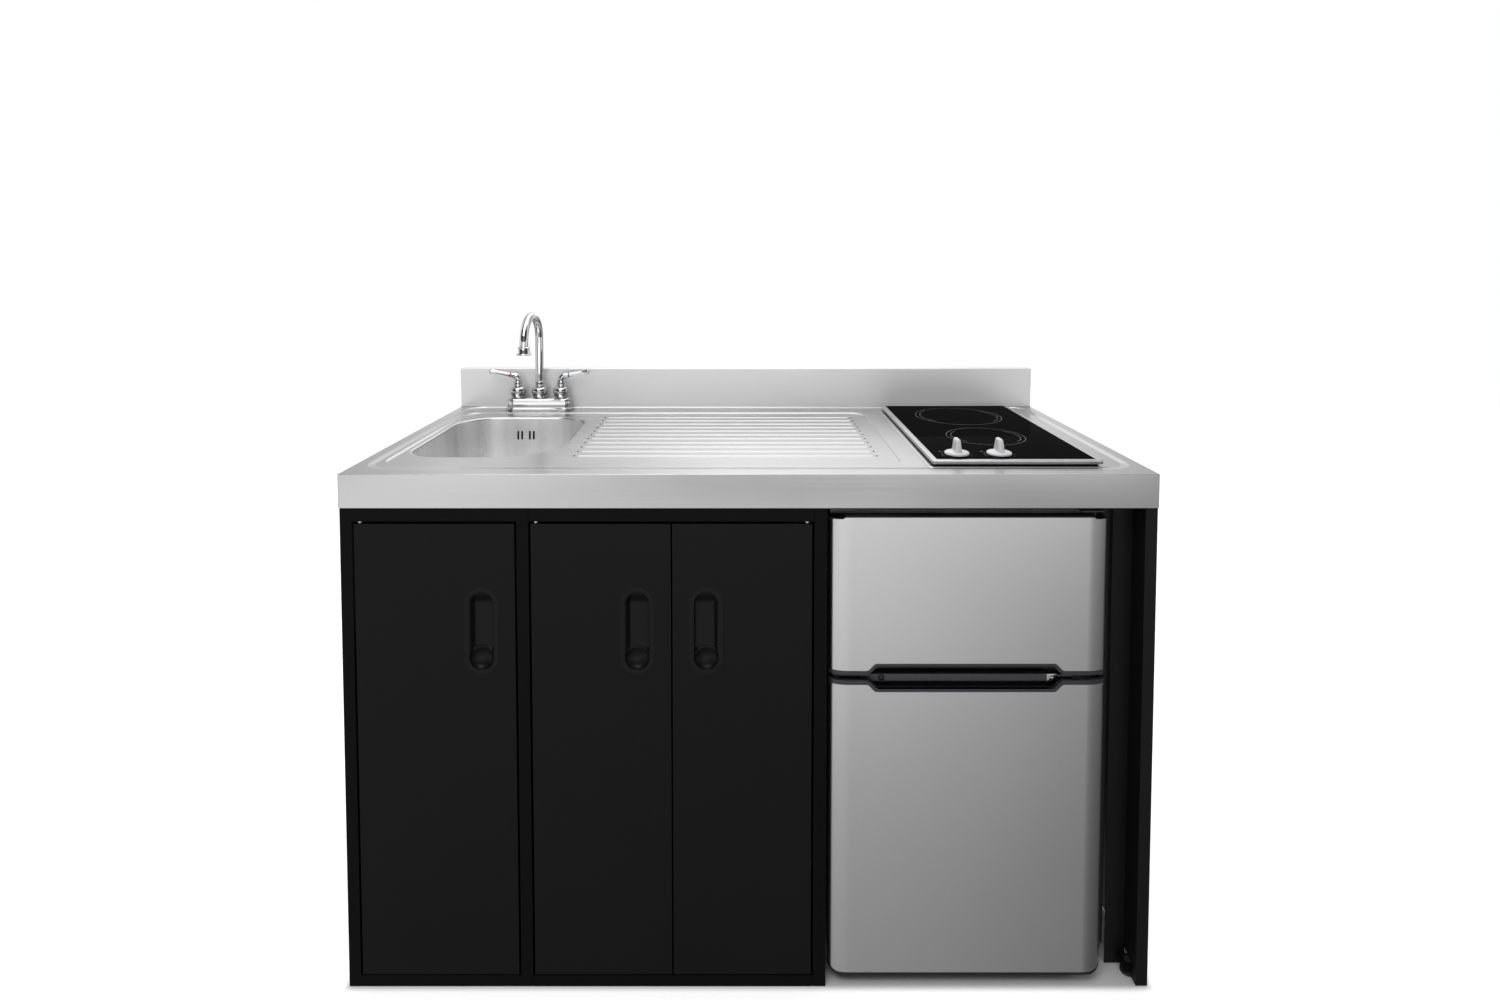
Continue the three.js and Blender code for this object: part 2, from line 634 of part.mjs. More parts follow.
function levellingFoot(y) {
  const nutBottom = FOOT_TAB_HEIGHT + SHEET + SEAM;
  const cone = FOOT_PAD_HEIGHT + 3;
  const foot = turned([[0, 0], [FOOT_PAD_RADIUS, 0], [FOOT_PAD_RADIUS, FOOT_PAD_HEIGHT],
    [FOOT_STUD_RADIUS, cone], [FOOT_STUD_RADIUS, FOOT_STUD_TOP], [0, FOOT_STUD_TOP]], footX, y, 20);
  const nut = rod(FOOT_NUT_RADIUS, nutBottom, nutBottom + FOOT_NUT_HEIGHT, footX, y, 6);
  return join(foot, nut);
}

// ---------------------------------------------------------------- cabinet doors

// A door in its own frame: its pivot is at x = 0, y = 0, and it reaches towards +x for a
// direction of 1 and towards -x for -1.
function doorPan(width, direction) {
  const span = (a, b) => [direction * a, direction * b].sort((p, q) => p - q);
  const face = -PIVOT_SETBACK;
  const rear = face + DOOR_THICKNESS;
  const [x0, x1] = [-PIVOT_INSET, width - PIVOT_INSET];
  const outer = block(...span(x0, x1), face, rear, doorBottom, doorTop);
  const hollow = block(...span(x0 + SHEET, x1 - SHEET), face + SHEET, rear - SHEET,
    doorBottom + SHEET, doorTop - SHEET);
  const mouth = block(...span(x0 + DOOR_LIP, x1 - DOOR_LIP), rear - SHEET - 1, rear + 1,
    doorBottom + DOOR_LIP, doorTop - DOOR_LIP);
  const pullX = direction * (x1 - PULL_INSET);
  const window = pullOutline(pullX, PULL_MOUTH_WIDTH + 2 * (PULL_WALL + SEAM),
    PULL_MOUTH_HEIGHT + 2 * (PULL_WALL + SEAM));
  const stud = rod(PIVOT_RADIUS, doorBottom - PIVOT_REACH, doorBottom + SHEET, 0, 0, 16);
  const washer = rod(PIVOT_COLLAR_RADIUS, BOTTOM_RAIL_HEIGHT + SEAM, doorBottom + SHEET / 2, 0, 0, 16);
  return cut(
    join(cut(outer, hollow, mouth), stud, washer),
    prism(window, 'y', face - 1, face + SHEET + 1),
    pivotHole(0, 0, doorTop - SHEET - 1, doorTop + 1),
  );
}

const pullOutline = (x, width, height) => roundedRectangle(
  x - width / 2, x + width / 2, PULL_CENTRE - height / 2, PULL_CENTRE + height / 2, width / 2, 8);

function pullCup(width, direction) {
  const x = direction * (width - PIVOT_INSET - PULL_INSET);
  const rimBack = -PIVOT_SETBACK - SEAM;
  const rimFront = rimBack - PULL_RIM;
  const cupBack = rimFront + PULL_BOTTOM_DEPTH + PULL_WALL;
  const rim = prism(pullOutline(x, PULL_WIDTH, PULL_HEIGHT), 'y', rimFront, rimBack);
  const cup = prism(
    pullOutline(x, PULL_MOUTH_WIDTH + 2 * PULL_WALL, PULL_MOUTH_HEIGHT + 2 * PULL_WALL),
    'y', rimFront, cupBack,
  );
  const top = PULL_CENTRE + PULL_MOUTH_HEIGHT / 2 + 1;
  const bottom = PULL_CENTRE - PULL_MOUTH_HEIGHT / 2 - 1;
  const slope = [point(rimFront - 1, top), point(rimFront - 1, bottom),
    point(rimFront + PULL_BOTTOM_DEPTH, bottom), point(rimFront + PULL_TOP_DEPTH, top)];
  const hollow = common(
    prism(pullOutline(x, PULL_MOUTH_WIDTH, PULL_MOUTH_HEIGHT), 'y', rimFront - 1, cupBack),
    prism(slope, 'x', x - PULL_WIDTH, x + PULL_WIDTH),
  );
  return cut(join(rim, cup), hollow);
}

function pivotPin() {
  return turned([[0, doorTop - PIVOT_REACH], [PIVOT_RADIUS, doorTop - PIVOT_REACH],
    [PIVOT_RADIUS, doorTop + SEAM], [PIVOT_COLLAR_RADIUS, doorTop + SEAM],
    [PIVOT_COLLAR_RADIUS, topRailBottom - SEAM], [PIVOT_RADIUS, topRailBottom - SEAM],
    [PIVOT_RADIUS, topRailBottom + PIVOT_REACH], [0, topRailBottom + PIVOT_REACH]], 0, 0, 16);
}

function cabinetDoor(name, hingeX, width, direction) {
  return assembly(
    hingeX, pivotY, 0,
    piece(`${name}_door`, doorPan(width, direction), 'blackSteel'),
    piece(`${name}_door_pull`, pullCup(width, direction), 'blackPlastic'),
    piece(`${name}_door_pin`, pivotPin(), 'zincSteel'),
  );
}

// ---------------------------------------------------------------- worktop and backsplash

// A pressed area with sloping sides, grown by a margin all round and below.
function well(x0, x1, y0, y1, slopes, top, depth, radius, grow = 0) {
  const [sideSlope, frontSlope, backSlope] = slopes;
  const above = 1;
  const rim = roundedRectangle(x0 - grow, x1 + grow, y0 - grow, y1 + grow, radius + grow, 6);
  const foot = roundedRectangle(x0 + sideSlope - grow, x1 - sideSlope + grow,
    y0 + frontSlope - grow, y1 - backSlope + grow, radius * 0.7 + grow, 6);
  return loft([{ outline: foot, z: top - depth - grow }, { outline: rim, z: top - grow },
    { outline: rim, z: top + above }]);
}

const worktopWell = (grow) => well(
  left + SIDE_RIM, right - SIDE_RIM, front + FRONT_RIM, backsplashFront - 1,
  [SIDE_SLOPE, FRONT_SLOPE, BACK_SLOPE], WORKTOP_HEIGHT, WELL_DEPTH, WELL_RADIUS, grow);

const drainingTray = (grow) => well(
  left + TRAY_LEFT, trayRight, trayFront, trayBack,
  [TRAY_SLOPE, TRAY_FRONT_SLOPE, TRAY_SLOPE], wellLevel, TRAY_DEPTH, TRAY_RADIUS, grow);

function drainingRib(y) {
  const x0 = bowlX + BOWL_WIDTH / 2 + RIB_BOWL_GAP;
  const x1 = trayRight - RIB_TRAY_GAP;
  const outline = (width, inset) => roundedRectangle(x0 + inset, x1 - inset,
    y - width / 2, y + width / 2, width / 2, 4);
  const sunk = TOP_SHEET / 2;
  return loft([
    { outline: outline(RIB_WIDTH, 0), z: trayLevel - sunk },
    { outline: outline(RIB_WIDTH, 0), z: trayLevel },
    { outline: outline(RIB_TOP_WIDTH, (RIB_WIDTH - RIB_TOP_WIDTH) / 2), z: trayLevel + RIB_RISE },
  ]);
}

function hobSeat() {
  const reach = HOB_SEAT_MARGIN;
  const outline = (inset) => roundedRectangle(
    hobX - HOB_WIDTH / 2 - reach + inset, hobX + HOB_WIDTH / 2 + reach - inset,
    hobY - reach + inset, hobY + HOB_LENGTH + reach - inset, reach, 4);
  return loft([
    { outline: outline(0), z: wellLevel - TOP_SHEET / 2 },
    { outline: outline(0), z: wellLevel },
    { outline: outline(HOB_SEAT_SLOPE), z: hobSeatLevel },
  ]);
}

function worktop() {
  const slab = block(left, right, front, back, apronBottom, WORKTOP_HEIGHT);
  const under = cut(
    block(left + TOP_SHEET, right - TOP_SHEET, front + TOP_SHEET, back - TOP_SHEET,
      apronBottom + TOP_SHEET, WORKTOP_HEIGHT - TOP_SHEET),
    worktopWell(TOP_SHEET), drainingTray(TOP_SHEET),
  );
  const underMouth = block(left + SIDE_RETURN, right - SIDE_RETURN, front + APRON_RETURN,
    cabinetBack - SHEET - 1, apronBottom - 1, apronBottom + TOP_SHEET + 1);
  const pressed = cut(slab, worktopWell(0), drainingTray(0), under, underMouth);
  const ribFront = trayFront + RIB_FRONT_MARGIN;
  const ribPitch = (trayBack - RIB_BACK_MARGIN - ribFront) / (RIB_COUNT - 1);
  const ribs = Array.from({ length: RIB_COUNT }, (_, i) => drainingRib(ribFront + i * ribPitch));
  const bowlHole = prism(
    roundedRectangle(bowlX - BOWL_WIDTH / 2, bowlX + BOWL_WIDTH / 2,
      bowlY - BOWL_LENGTH / 2, bowlY + BOWL_LENGTH / 2, BOWL_RADIUS, 8),
    'z', apronBottom + TOP_SHEET + 1, WORKTOP_HEIGHT + 1,
  );
  const boxHalf = HOB_WIDTH / 2 - HOB_BOX_INSET + HOB_CUTOUT_CLEARANCE;
  const hobHole = block(hobX - boxHalf, hobX + boxHalf,
    hobY + HOB_BOX_INSET - HOB_CUTOUT_CLEARANCE, hobY + HOB_LENGTH - HOB_BOX_INSET + HOB_CUTOUT_CLEARANCE,
    apronBottom + TOP_SHEET + 1, WORKTOP_HEIGHT + 1);
  const shankHoles = [-1, 1].map((side) => rod(TAP_SHANK_RADIUS + 1, wellLevel - 2 * TOP_SHEET,
    WORKTOP_HEIGHT, tapX + side * TAP_HUB_SPACING, tapY, 20));
  return cut(join(pressed, ...ribs, hobSeat()), bowlHole, hobHole, ...shankHoles);
}

function backsplash() {
  const z0 = WORKTOP_HEIGHT + SEAM;
  const z1 = WORKTOP_HEIGHT + BACKSPLASH_HEIGHT;
  const arch = (inset) => {
    const r = BACKSPLASH_RADIUS - inset;
    const ring = roundedRectangle(left + inset, right - inset, z0 - r - 1, z1 - inset, r, 4);
    return ring.map(({ x, y }) => point(x, Math.max(y, inset > 0 ? z0 - 1 : z0)));
  };
  const lip = BACKSPLASH_LIP;
  return cut(
    prism(arch(0), 'y', backsplashFront, back),
    prism(arch(TOP_SHEET), 'y', backsplashFront + TOP_SHEET, back - TOP_SHEET),
    block(left + lip, right - lip, back - TOP_SHEET - 1, back + 1, z0 - 1, z1 - lip),
  );
}

// ---------------------------------------------------------------- sink

const bowlOutline = (grow, radius = BOWL_RADIUS) => roundedRectangle(
  bowlX - BOWL_WIDTH / 2 - grow, bowlX + BOWL_WIDTH / 2 + grow,
  bowlY - BOWL_LENGTH / 2 - grow, bowlY + BOWL_LENGTH / 2 + grow, radius + grow, 8);

// The space inside the bowl, or with a wall's thickness added, the bowl's outside.
function bowlForm(wall, top) {
  const floor = bowlFloor - wall;
  const rings = [0, 0.3, 0.62, 1].map((share) => {
    const turn = share * Math.PI / 2;
    const inset = BOWL_TAPER + BOWL_FOOT_RADIUS * (1 - Math.sin(turn));
    return {
      outline: bowlOutline(wall - inset, BOWL_LOW_RADIUS + BOWL_TAPER),
      z: floor + BOWL_FOOT_RADIUS * (1 - Math.cos(turn)),
    };
  });
  return loft([...rings, { outline: bowlOutline(wall), z: top }]);
}

function sinkBowl() {
  const flange = prism(bowlOutline(BOWL_FLANGE), 'z', bowlTop - BOWL_SHEET, bowlTop);
  const slots = [-OVERFLOW_OUTER, -OVERFLOW_INNER, OVERFLOW_INNER, OVERFLOW_OUTER].map((shift) => {
    const x = bowlX + OVERFLOW_SHIFT + shift;
    const top = trayLevel - OVERFLOW_DROP;
    return block(x - OVERFLOW_WIDTH / 2, x + OVERFLOW_WIDTH / 2,
      bowlY + BOWL_LENGTH / 2 - BOWL_TAPER - 2 * BOWL_SHEET, bowlY + BOWL_LENGTH / 2 + BOWL_FLANGE / 2,
      top - OVERFLOW_HEIGHT, top);
  });
  return cut(
    join(bowlForm(BOWL_SHEET, bowlTop), flange),
    bowlForm(0, bowlTop + 1),
    rod(DRAIN_CUP_RADIUS + SEAM, bowlFloor - BOWL_SHEET - 1, bowlFloor + 1, bowlX, bowlY, 32),
    ...slots,
  );
}

const drainBottom = bowlFloor - DRAIN_CUP_DEPTH - DRAIN_CONE;

function drainBody() {
  const inner = DRAIN_CUP_RADIUS - DRAIN_WALL;
  const outlet = DRAIN_TAIL_RADIUS - 2 * DRAIN_WALL;
  const floor = bowlFloor + SEAM;
  const cupFoot = bowlFloor - DRAIN_CUP_DEPTH;
  const nut = DRAIN_CUP_RADIUS + 6;
  const nutTop = bowlFloor - BOWL_SHEET - SEAM;
  return turned([
    [inner, floor + 1], [inner, cupFoot], [outlet, drainBottom], [outlet, drainBottom - DRAIN_TAIL_LENGTH],
    [DRAIN_TAIL_RADIUS, drainBottom - DRAIN_TAIL_LENGTH], [DRAIN_TAIL_RADIUS, drainBottom - DRAIN_WALL],
    [DRAIN_CUP_RADIUS, cupFoot - DRAIN_WALL], [DRAIN_CUP_RADIUS, nutTop - 8], [nut, nutTop - 8],
    [nut, nutTop], [DRAIN_CUP_RADIUS, nutTop], [DRAIN_CUP_RADIUS, floor], [DRAIN_FLANGE_RADIUS, floor],
    [DRAIN_FLANGE_RADIUS, floor + 0.8], [DRAIN_CUP_RADIUS + 4, floor + 2], [inner, floor + 1],
  ], bowlX, bowlY, 32);
}

function basketStrainer() {
  const top = bowlFloor - 1;
  const floor = top - STRAINER_DEPTH;
  const wall = 1.2;
  const inner = DRAIN_CUP_RADIUS - DRAIN_WALL;
  const outlet = DRAIN_TAIL_RADIUS - 2 * DRAIN_WALL;
  const coneAt = bowlFloor - DRAIN_CUP_DEPTH - DRAIN_CONE * (inner - STOPPER_RADIUS) / (inner - outlet);
  const rest = coneAt + SEAM * 1.5;
  return turned([
    [0, rest], [STOPPER_RADIUS - 2, rest], [STOPPER_RADIUS, rest + 1], [STOPPER_RADIUS - 3, floor],
    [STRAINER_RADIUS - 8, floor], [STRAINER_RADIUS - 1, floor + 8], [STRAINER_RADIUS, top],
    [STRAINER_RADIUS - wall, top], [STRAINER_RADIUS - 1 - wall, floor + 8 + wall / 2],
    [STRAINER_RADIUS - 8 - wall / 2, floor + wall], [3, floor + wall], [3, top - 14], [8, top - 11],
    [8, top - 7], [0, top - 5],
  ], bowlX, bowlY, 24);
}

function drainTrap() {
  const top = drainBottom - DRAIN_TAIL_LENGTH - SEAM;
  const bend = top - TRAP_DROP - TRAP_BEND;
  const end = cabinetBack + TRAP_TAIL - bowlY;
  const outlet = bend + TRAP_BEND + TRAP_OUTLET_RISE;
  const path = bentPath([[0, top], [0, bend], [2 * TRAP_BEND, bend], [2 * TRAP_BEND, outlet],
    [end, outlet]], TRAP_BEND - SEAM);
  const pipe = swept(path, TRAP_RADIUS, 12, 36).translate(bowlX, bowlY, 0);
  const nut = rod(TRAP_NUT_RADIUS, top - TRAP_NUT_HEIGHT, top - 1, bowlX, bowlY, 12);
  return join(pipe, nut);
}

// ---------------------------------------------------------------- tap

function tapBody() {
  const step = (inset, z) => ({
    outline: centredRectangle(TAP_BASE_LENGTH - 2 * inset, TAP_BASE_WIDTH - 2 * inset, TAP_BASE_WIDTH, 6),
    z,
  });
  const base = loft([step(0.5, SEAM), step(0, 2), step(0.5, 4), step(3.5, 6.5), step(4.5, 10),
    step(7, TAP_BASE_HEIGHT - 6), step(9, TAP_BASE_HEIGHT - 1), step(10.5, TAP_BASE_HEIGHT)]);
  const hubFoot = TAP_BASE_HEIGHT - 2;
  const neck = TAP_COLLAR_RADIUS - 1.5;
  const hub = (x) => turned([
    [0, hubFoot], [TAP_HUB_RADIUS - 4, hubFoot], [TAP_HUB_RADIUS - 4, TAP_BASE_HEIGHT + 1],
    [TAP_HUB_RADIUS - 1, TAP_BASE_HEIGHT + 3], [TAP_HUB_RADIUS, TAP_BASE_HEIGHT + 9],
    [TAP_HUB_RADIUS - 1, TAP_BASE_HEIGHT + 17], [TAP_HUB_RADIUS - 5, TAP_HUB_TOP - 4],
    [neck + 1, TAP_HUB_TOP], [TAP_COLLAR_RADIUS, TAP_HUB_TOP + 2], [TAP_COLLAR_RADIUS, TAP_COLLAR_TOP - 1],
    [neck, TAP_COLLAR_TOP], [0, TAP_COLLAR_TOP],
  ], x, 0, 22);
  const nutTop = -TOP_SHEET - SEAM;
  const shank = (x) => join(
    rod(TAP_SHANK_RADIUS, -TAP_SHANK_LENGTH, 3, x, 0, 16),
    rod(TAP_NUT_RADIUS, nutTop - TAP_NUT_HEIGHT, nutTop, x, 0, 6),
  );
  const [a, b] = [-TAP_HUB_SPACING, TAP_HUB_SPACING];
  return join(base, hub(a), hub(0), hub(b), shank(a), shank(b));
}

function spout() {
  const foot = TAP_COLLAR_TOP + SEAM;
  const mouthTop = SPOUT_MOUTH + AERATOR_HEIGHT + SEAM;
  const arcFoot = mouthTop + SPOUT_NECK;
  const rise = SPOUT_TOP - SPOUT_RADIUS - arcFoot;
  const reach = SPOUT_REACH / 2;
  const stem = [0, 0.35, 0.7].map((share) => new THREE.Vector3(0, 0, foot + share * (arcFoot - foot)));
  const arcSteps = 12;
  const arc = Array.from({ length: arcSteps + 1 }, (_, i) => {
    const turn = (Math.PI * i) / arcSteps;
    return new THREE.Vector3(0, -reach + reach * Math.cos(turn), arcFoot + rise * Math.sin(turn));
  });
  const end = new THREE.Vector3(0, -SPOUT_REACH, mouthTop);
  const path = new THREE.CatmullRomCurve3([...stem, ...arc, end], false, 'centripetal');
  const ring = rod(SPOUT_RADIUS + 2, foot, foot + 4, 0, 0, 24);
  return join(swept(path, SPOUT_RADIUS, 14, 28), ring);
}

function aerator() {
  const z0 = SPOUT_MOUTH;
  const z1 = SPOUT_MOUTH + AERATOR_HEIGHT;
  const r = AERATOR_RADIUS;
  const mouth = r - 5;
  return turned([
    [0, z0 + 6], [mouth, z0 + 6], [mouth, z0], [r - 0.8, z0], [r, z0 + 1.2], [r - 0.8, z0 + 2.5],
    [r - 2.5, z0 + 4], [r - 3.2, z0 + 11], [r - 4.5, z0 + 14.5], [r - 3.2, z0 + 15.2], [r - 3.2, z0 + 16.6],
    [SPOUT_RADIUS + 1, z1], [0, z1],
  ], 0, -SPOUT_REACH, 24);
}

// A lever that points to the left for a direction of -1 and to the right for 1.
function tapHandle(direction) {
  const foot = TAP_COLLAR_TOP + SEAM;
  const at = (reach, z) => new THREE.Vector3(direction * reach, 0, z);
  const elbow = LEVER_RISE - 10;
  const tipStart = LEVER_REACH - 13;
  const path = new THREE.CatmullRomCurve3([at(0, foot + 2), at(0.5, elbow - 8), at(4, elbow - 2),
    at(10, elbow + 1.5), at(tipStart, LEVER_RISE - 1)], false, 'centripetal');
  const lever = swept(path, LEVER_RADIUS, 12, 18);
  const tip = new THREE.CylinderGeometry(LEVER_TIP_RADIUS, LEVER_RADIUS - 0.4, LEVER_REACH - tipStart + 2, 8);
  tip.rotateZ(-direction * THREE.MathUtils.degToRad(80));
  tip.translate(direction * (tipStart + LEVER_REACH) / 2, 0, LEVER_RISE + 0.3);
  const cap = turned([[0, foot], [TAP_COLLAR_RADIUS - 1, foot], [TAP_COLLAR_RADIUS, foot + 2],
    [TAP_COLLAR_RADIUS - 1.5, foot + 5], [LEVER_RADIUS, foot + 7], [0, foot + 8]], 0, 0, 24);
  return join(lever, tip, cap);
}

function tap() {
  return assembly(
    tapX, tapY, wellLevel,
    piece('tap_body', tapBody(), 'chrome'),
    piece('tap_spout', spout(), 'chrome'),
    piece('spout_aerator', aerator(), 'chrome'),
    assembly(-TAP_HUB_SPACING, 0, 0, piece('hot_handle', tapHandle(-1), 'chrome')),
    assembly(TAP_HUB_SPACING, 0, 0, piece('cold_handle', tapHandle(1), 'chrome')),
  );
}

// ---------------------------------------------------------------- hob

// In the hob's frame, x = 0 is its middle, y = 0 its front edge and z = 0 the seat on the worktop.
const flangeTop = SEAM + HOB_FLANGE_HEIGHT;
const hobGlassBottom = flangeTop + SEAM;
const hobGlassTop = hobGlassBottom + HOB_GLASS_THICKNESS;
const hobFrameTop = hobGlassBottom + HOB_FRAME_HEIGHT;
const hobBoxBottom = flangeTop - HOB_BOX_DEPTH;
const leftKnobX = -HOB_WIDTH / 2 + LEFT_HOB_KNOB_X;
const rightKnobX = leftKnobX + HOB_KNOB_SPACING;

const hobRectangle = (inset, radius, steps = 3) => roundedRectangle(
  -HOB_WIDTH / 2 + inset, HOB_WIDTH / 2 - inset, inset, HOB_LENGTH - inset, radius, steps);

function hobFrame() {
  const outer = loft([
    { outline: hobRectangle(0, HOB_FRAME_RADIUS), z: hobGlassBottom },
    { outline: hobRectangle(0, HOB_FRAME_RADIUS), z: hobFrameTop - HOB_FRAME_BEVEL },
    { outline: hobRectangle(HOB_FRAME_BEVEL, HOB_FRAME_RADIUS), z: hobFrameTop },
  ]);
  const inside = hobRectangle(HOB_FRAME_WIDTH, HOB_FRAME_RADIUS / 2);
  return cut(outer, prism(inside, 'z', hobGlassBottom - 1, hobFrameTop + 1));
}

function hobGlass() {
  const plate = prism(hobRectangle(HOB_FRAME_WIDTH + SEAM, HOB_FRAME_RADIUS / 2), 'z',
    hobGlassBottom, hobGlassTop);
  const holes = [leftKnobX, rightKnobX].map((x) =>
    rod(SWITCH_SHAFT_RADIUS + 2, hobGlassBottom - 1, hobGlassTop + 1, x, HOB_KNOB_Y));
  return cut(plate, ...holes);
}

function hobBox() {
  const flange = prism(hobRectangle(HOB_FLANGE_INSET, HOB_FRAME_RADIUS), 'z', SEAM, flangeTop);
  const side = (inset) => [-HOB_WIDTH / 2 + inset, HOB_WIDTH / 2 - inset, inset, HOB_LENGTH - inset];
  const box = block(...side(HOB_BOX_INSET), hobBoxBottom, flangeTop);
  const inside = block(...side(HOB_BOX_INSET + SHEET), hobBoxBottom + SHEET, flangeTop + 1);
  return cut(join(flange, box), inside);
}

function heater(radius, y) {
  const top = hobGlassBottom - SEAM;
  const dish = top - HEATER_DEPTH;
  return turned([[0, hobBoxBottom + SHEET + SEAM], [HEATER_STEM_RADIUS, hobBoxBottom + SHEET + SEAM],
    [HEATER_STEM_RADIUS, dish], [radius, dish], [radius, top], [radius - 6, top], [radius - 6, top - 8],
    [0, top - 8]], 0, y, 32);
}

function hobSwitches() {
  const floor = hobBoxBottom + SHEET + SEAM;
  const half = SWITCH_SIZE / 2;
  const strip = block(leftKnobX, rightKnobX, HOB_KNOB_Y - half / 2, HOB_KNOB_Y + half / 2, floor, floor + 2);
  const bodies = [leftKnobX, rightKnobX].map((x) => join(
    block(x - half, x + half, HOB_KNOB_Y - half, HOB_KNOB_Y + half, floor, floor + SWITCH_HEIGHT),
    rod(SWITCH_SHAFT_RADIUS, floor + SWITCH_HEIGHT - 1, floor + SWITCH_HEIGHT + SWITCH_SHAFT_LENGTH,
      x, HOB_KNOB_Y, 16),
  ));
  return join(strip, ...bodies);
}

function hobKnob() {
  const foot = hobGlassTop + HOB_KNOB_GAP;
  const skirtTop = foot + HOB_KNOB_SKIRT;
  const top = foot + HOB_KNOB_HEIGHT;
  const skirt = turned([[0, foot], [HOB_KNOB_RADIUS - 0.6, foot], [HOB_KNOB_RADIUS, foot + 0.8],
    [HOB_KNOB_RADIUS, skirtTop - 2.5], [HOB_KNOB_RADIUS - 3, skirtTop], [0, skirtTop]], 0, 0, 36);
  const bar = (width, length, z) => ({ outline: centredRectangle(width, length, width / 2, 5), z });
  const fin = loft([
    bar(HOB_KNOB_FIN + 2, 2 * HOB_KNOB_RADIUS - 5, skirtTop - 1),
    bar(HOB_KNOB_FIN, 2 * HOB_KNOB_RADIUS - 8, skirtTop + 2),
    bar(HOB_KNOB_FIN - 2, 2 * HOB_KNOB_RADIUS - 16, top - 4),
    bar(HOB_KNOB_FIN - 5, 2 * HOB_KNOB_RADIUS - 22, top),
  ]);
  const shaftTop = hobBoxBottom + SHEET + SEAM + SWITCH_HEIGHT + SWITCH_SHAFT_LENGTH;
  const bore = rod(SWITCH_SHAFT_RADIUS + PIN_CLEARANCE, foot - 1, shaftTop + SEAM, 0, 0, 16);
  return cut(join(skirt, fin), bore);
}

function hob() {
  return assembly(
    hobX, hobY, hobSeatLevel,
    piece('hob_frame', hobFrame(), 'satinSteel'),
    piece('hob_glass', hobGlass(), 'blackGlass'),
    piece('hob_box', hobBox(), 'blackSteel'),
    piece('front_heater', heater(FRONT_HEATER_RADIUS, FRONT_HEATER_Y), 'ceramicWool'),
    piece('rear_heater', heater(REAR_HEATER_RADIUS, REAR_HEATER_Y), 'ceramicWool'),
    piece('hob_switches', hobSwitches(), 'zincSteel'),
    assembly(leftKnobX, HOB_KNOB_Y, 0, piece('left_hob_knob', hobKnob(), 'whitePlastic')),
    assembly(rightKnobX, HOB_KNOB_Y, 0, piece('right_hob_knob', hobKnob(), 'whitePlastic')),
  );
}

// ---------------------------------------------------------------- fridge

// In the fridge's frame, x = 0 is its left side, y = 0 the face of its doors and z = 0 the floor.
const doorLinerFront = FRIDGE_DOOR_DEPTH + SEAM;
const gasketFront = doorLinerFront + LINER_SHEET + SEAM;
const linerFront = gasketFront + GASKET_DEPTH + SEAM;
const caseFront = linerFront + LINER_SHEET + SEAM;
const cavityX = [CAVITY_WALL, FRIDGE_WIDTH - CAVITY_WALL];
const lowerDoorTop = FRIDGE_SPLIT - FRIDGE_SPLIT_GAP / 2;
const upperDoorBottom = FRIDGE_SPLIT + FRIDGE_SPLIT_GAP / 2;
const hingePoint = [FRIDGE_WIDTH - FRIDGE_PIVOT_INSET, FRIDGE_PIVOT_SETBACK];

// The space inside both compartments, with a wall's thickness added all round.
function cavities(wall) {
  const x = [cavityX[0] - wall, cavityX[1] + wall];
  const y0 = linerFront - 1;
  return join(
    block(...x, y0, linerFront + FREEZER_CAVITY_DEPTH + wall, FREEZER_FLOOR - wall, FREEZER_CEILING + wall),
    join(
      block(...x, y0, linerFront + CHILLER_CAVITY_DEPTH + wall, HUMP_HEIGHT - wall, CHILLER_CEILING + wall),
      block(...x, y0, linerFront + HUMP_CAVITY_DEPTH + wall, CHILLER_FLOOR - wall, CHILLER_CEILING + wall),
    ),
  );
}

function fridgeCase() {
  const shell = block(0, FRIDGE_WIDTH, caseFront, FRIDGE_DEPTH, FRIDGE_BASE, FRIDGE_TOP);
  const machineFloor = FRIDGE_BASE + 4;
  const machineSpace = block(MACHINE_WALL, FRIDGE_WIDTH - MACHINE_WALL, FRIDGE_DEPTH - MACHINE_DEPTH,
    FRIDGE_DEPTH + 1, machineFloor, machineFloor + MACHINE_HEIGHT);
  const half = FRIDGE_SUPPORT_SIZE / 2;
  const supportBack = FRIDGE_DEPTH - FRIDGE_SUPPORT_BACK;
  const foot = (x) => block(x - half, x + half, supportBack - FRIDGE_SUPPORT_SIZE, supportBack,
    0, FRIDGE_BASE + 1);
  const stud = (x) => rod(FOOT_STUD_RADIUS + PIN_CLEARANCE, FRIDGE_BASE - 1, FRIDGE_BASE + 12,
    x, FRIDGE_FOOT_Y, 16);
  const [a, b] = [FRIDGE_FOOT_INSET, FRIDGE_WIDTH - FRIDGE_FOOT_INSET - HINGE_WIDTH / 2];
  return cut(join(cut(shell, cavities(LINER_SHEET + SEAM), machineSpace), foot(a), foot(b)), stud(a), stud(b));
}

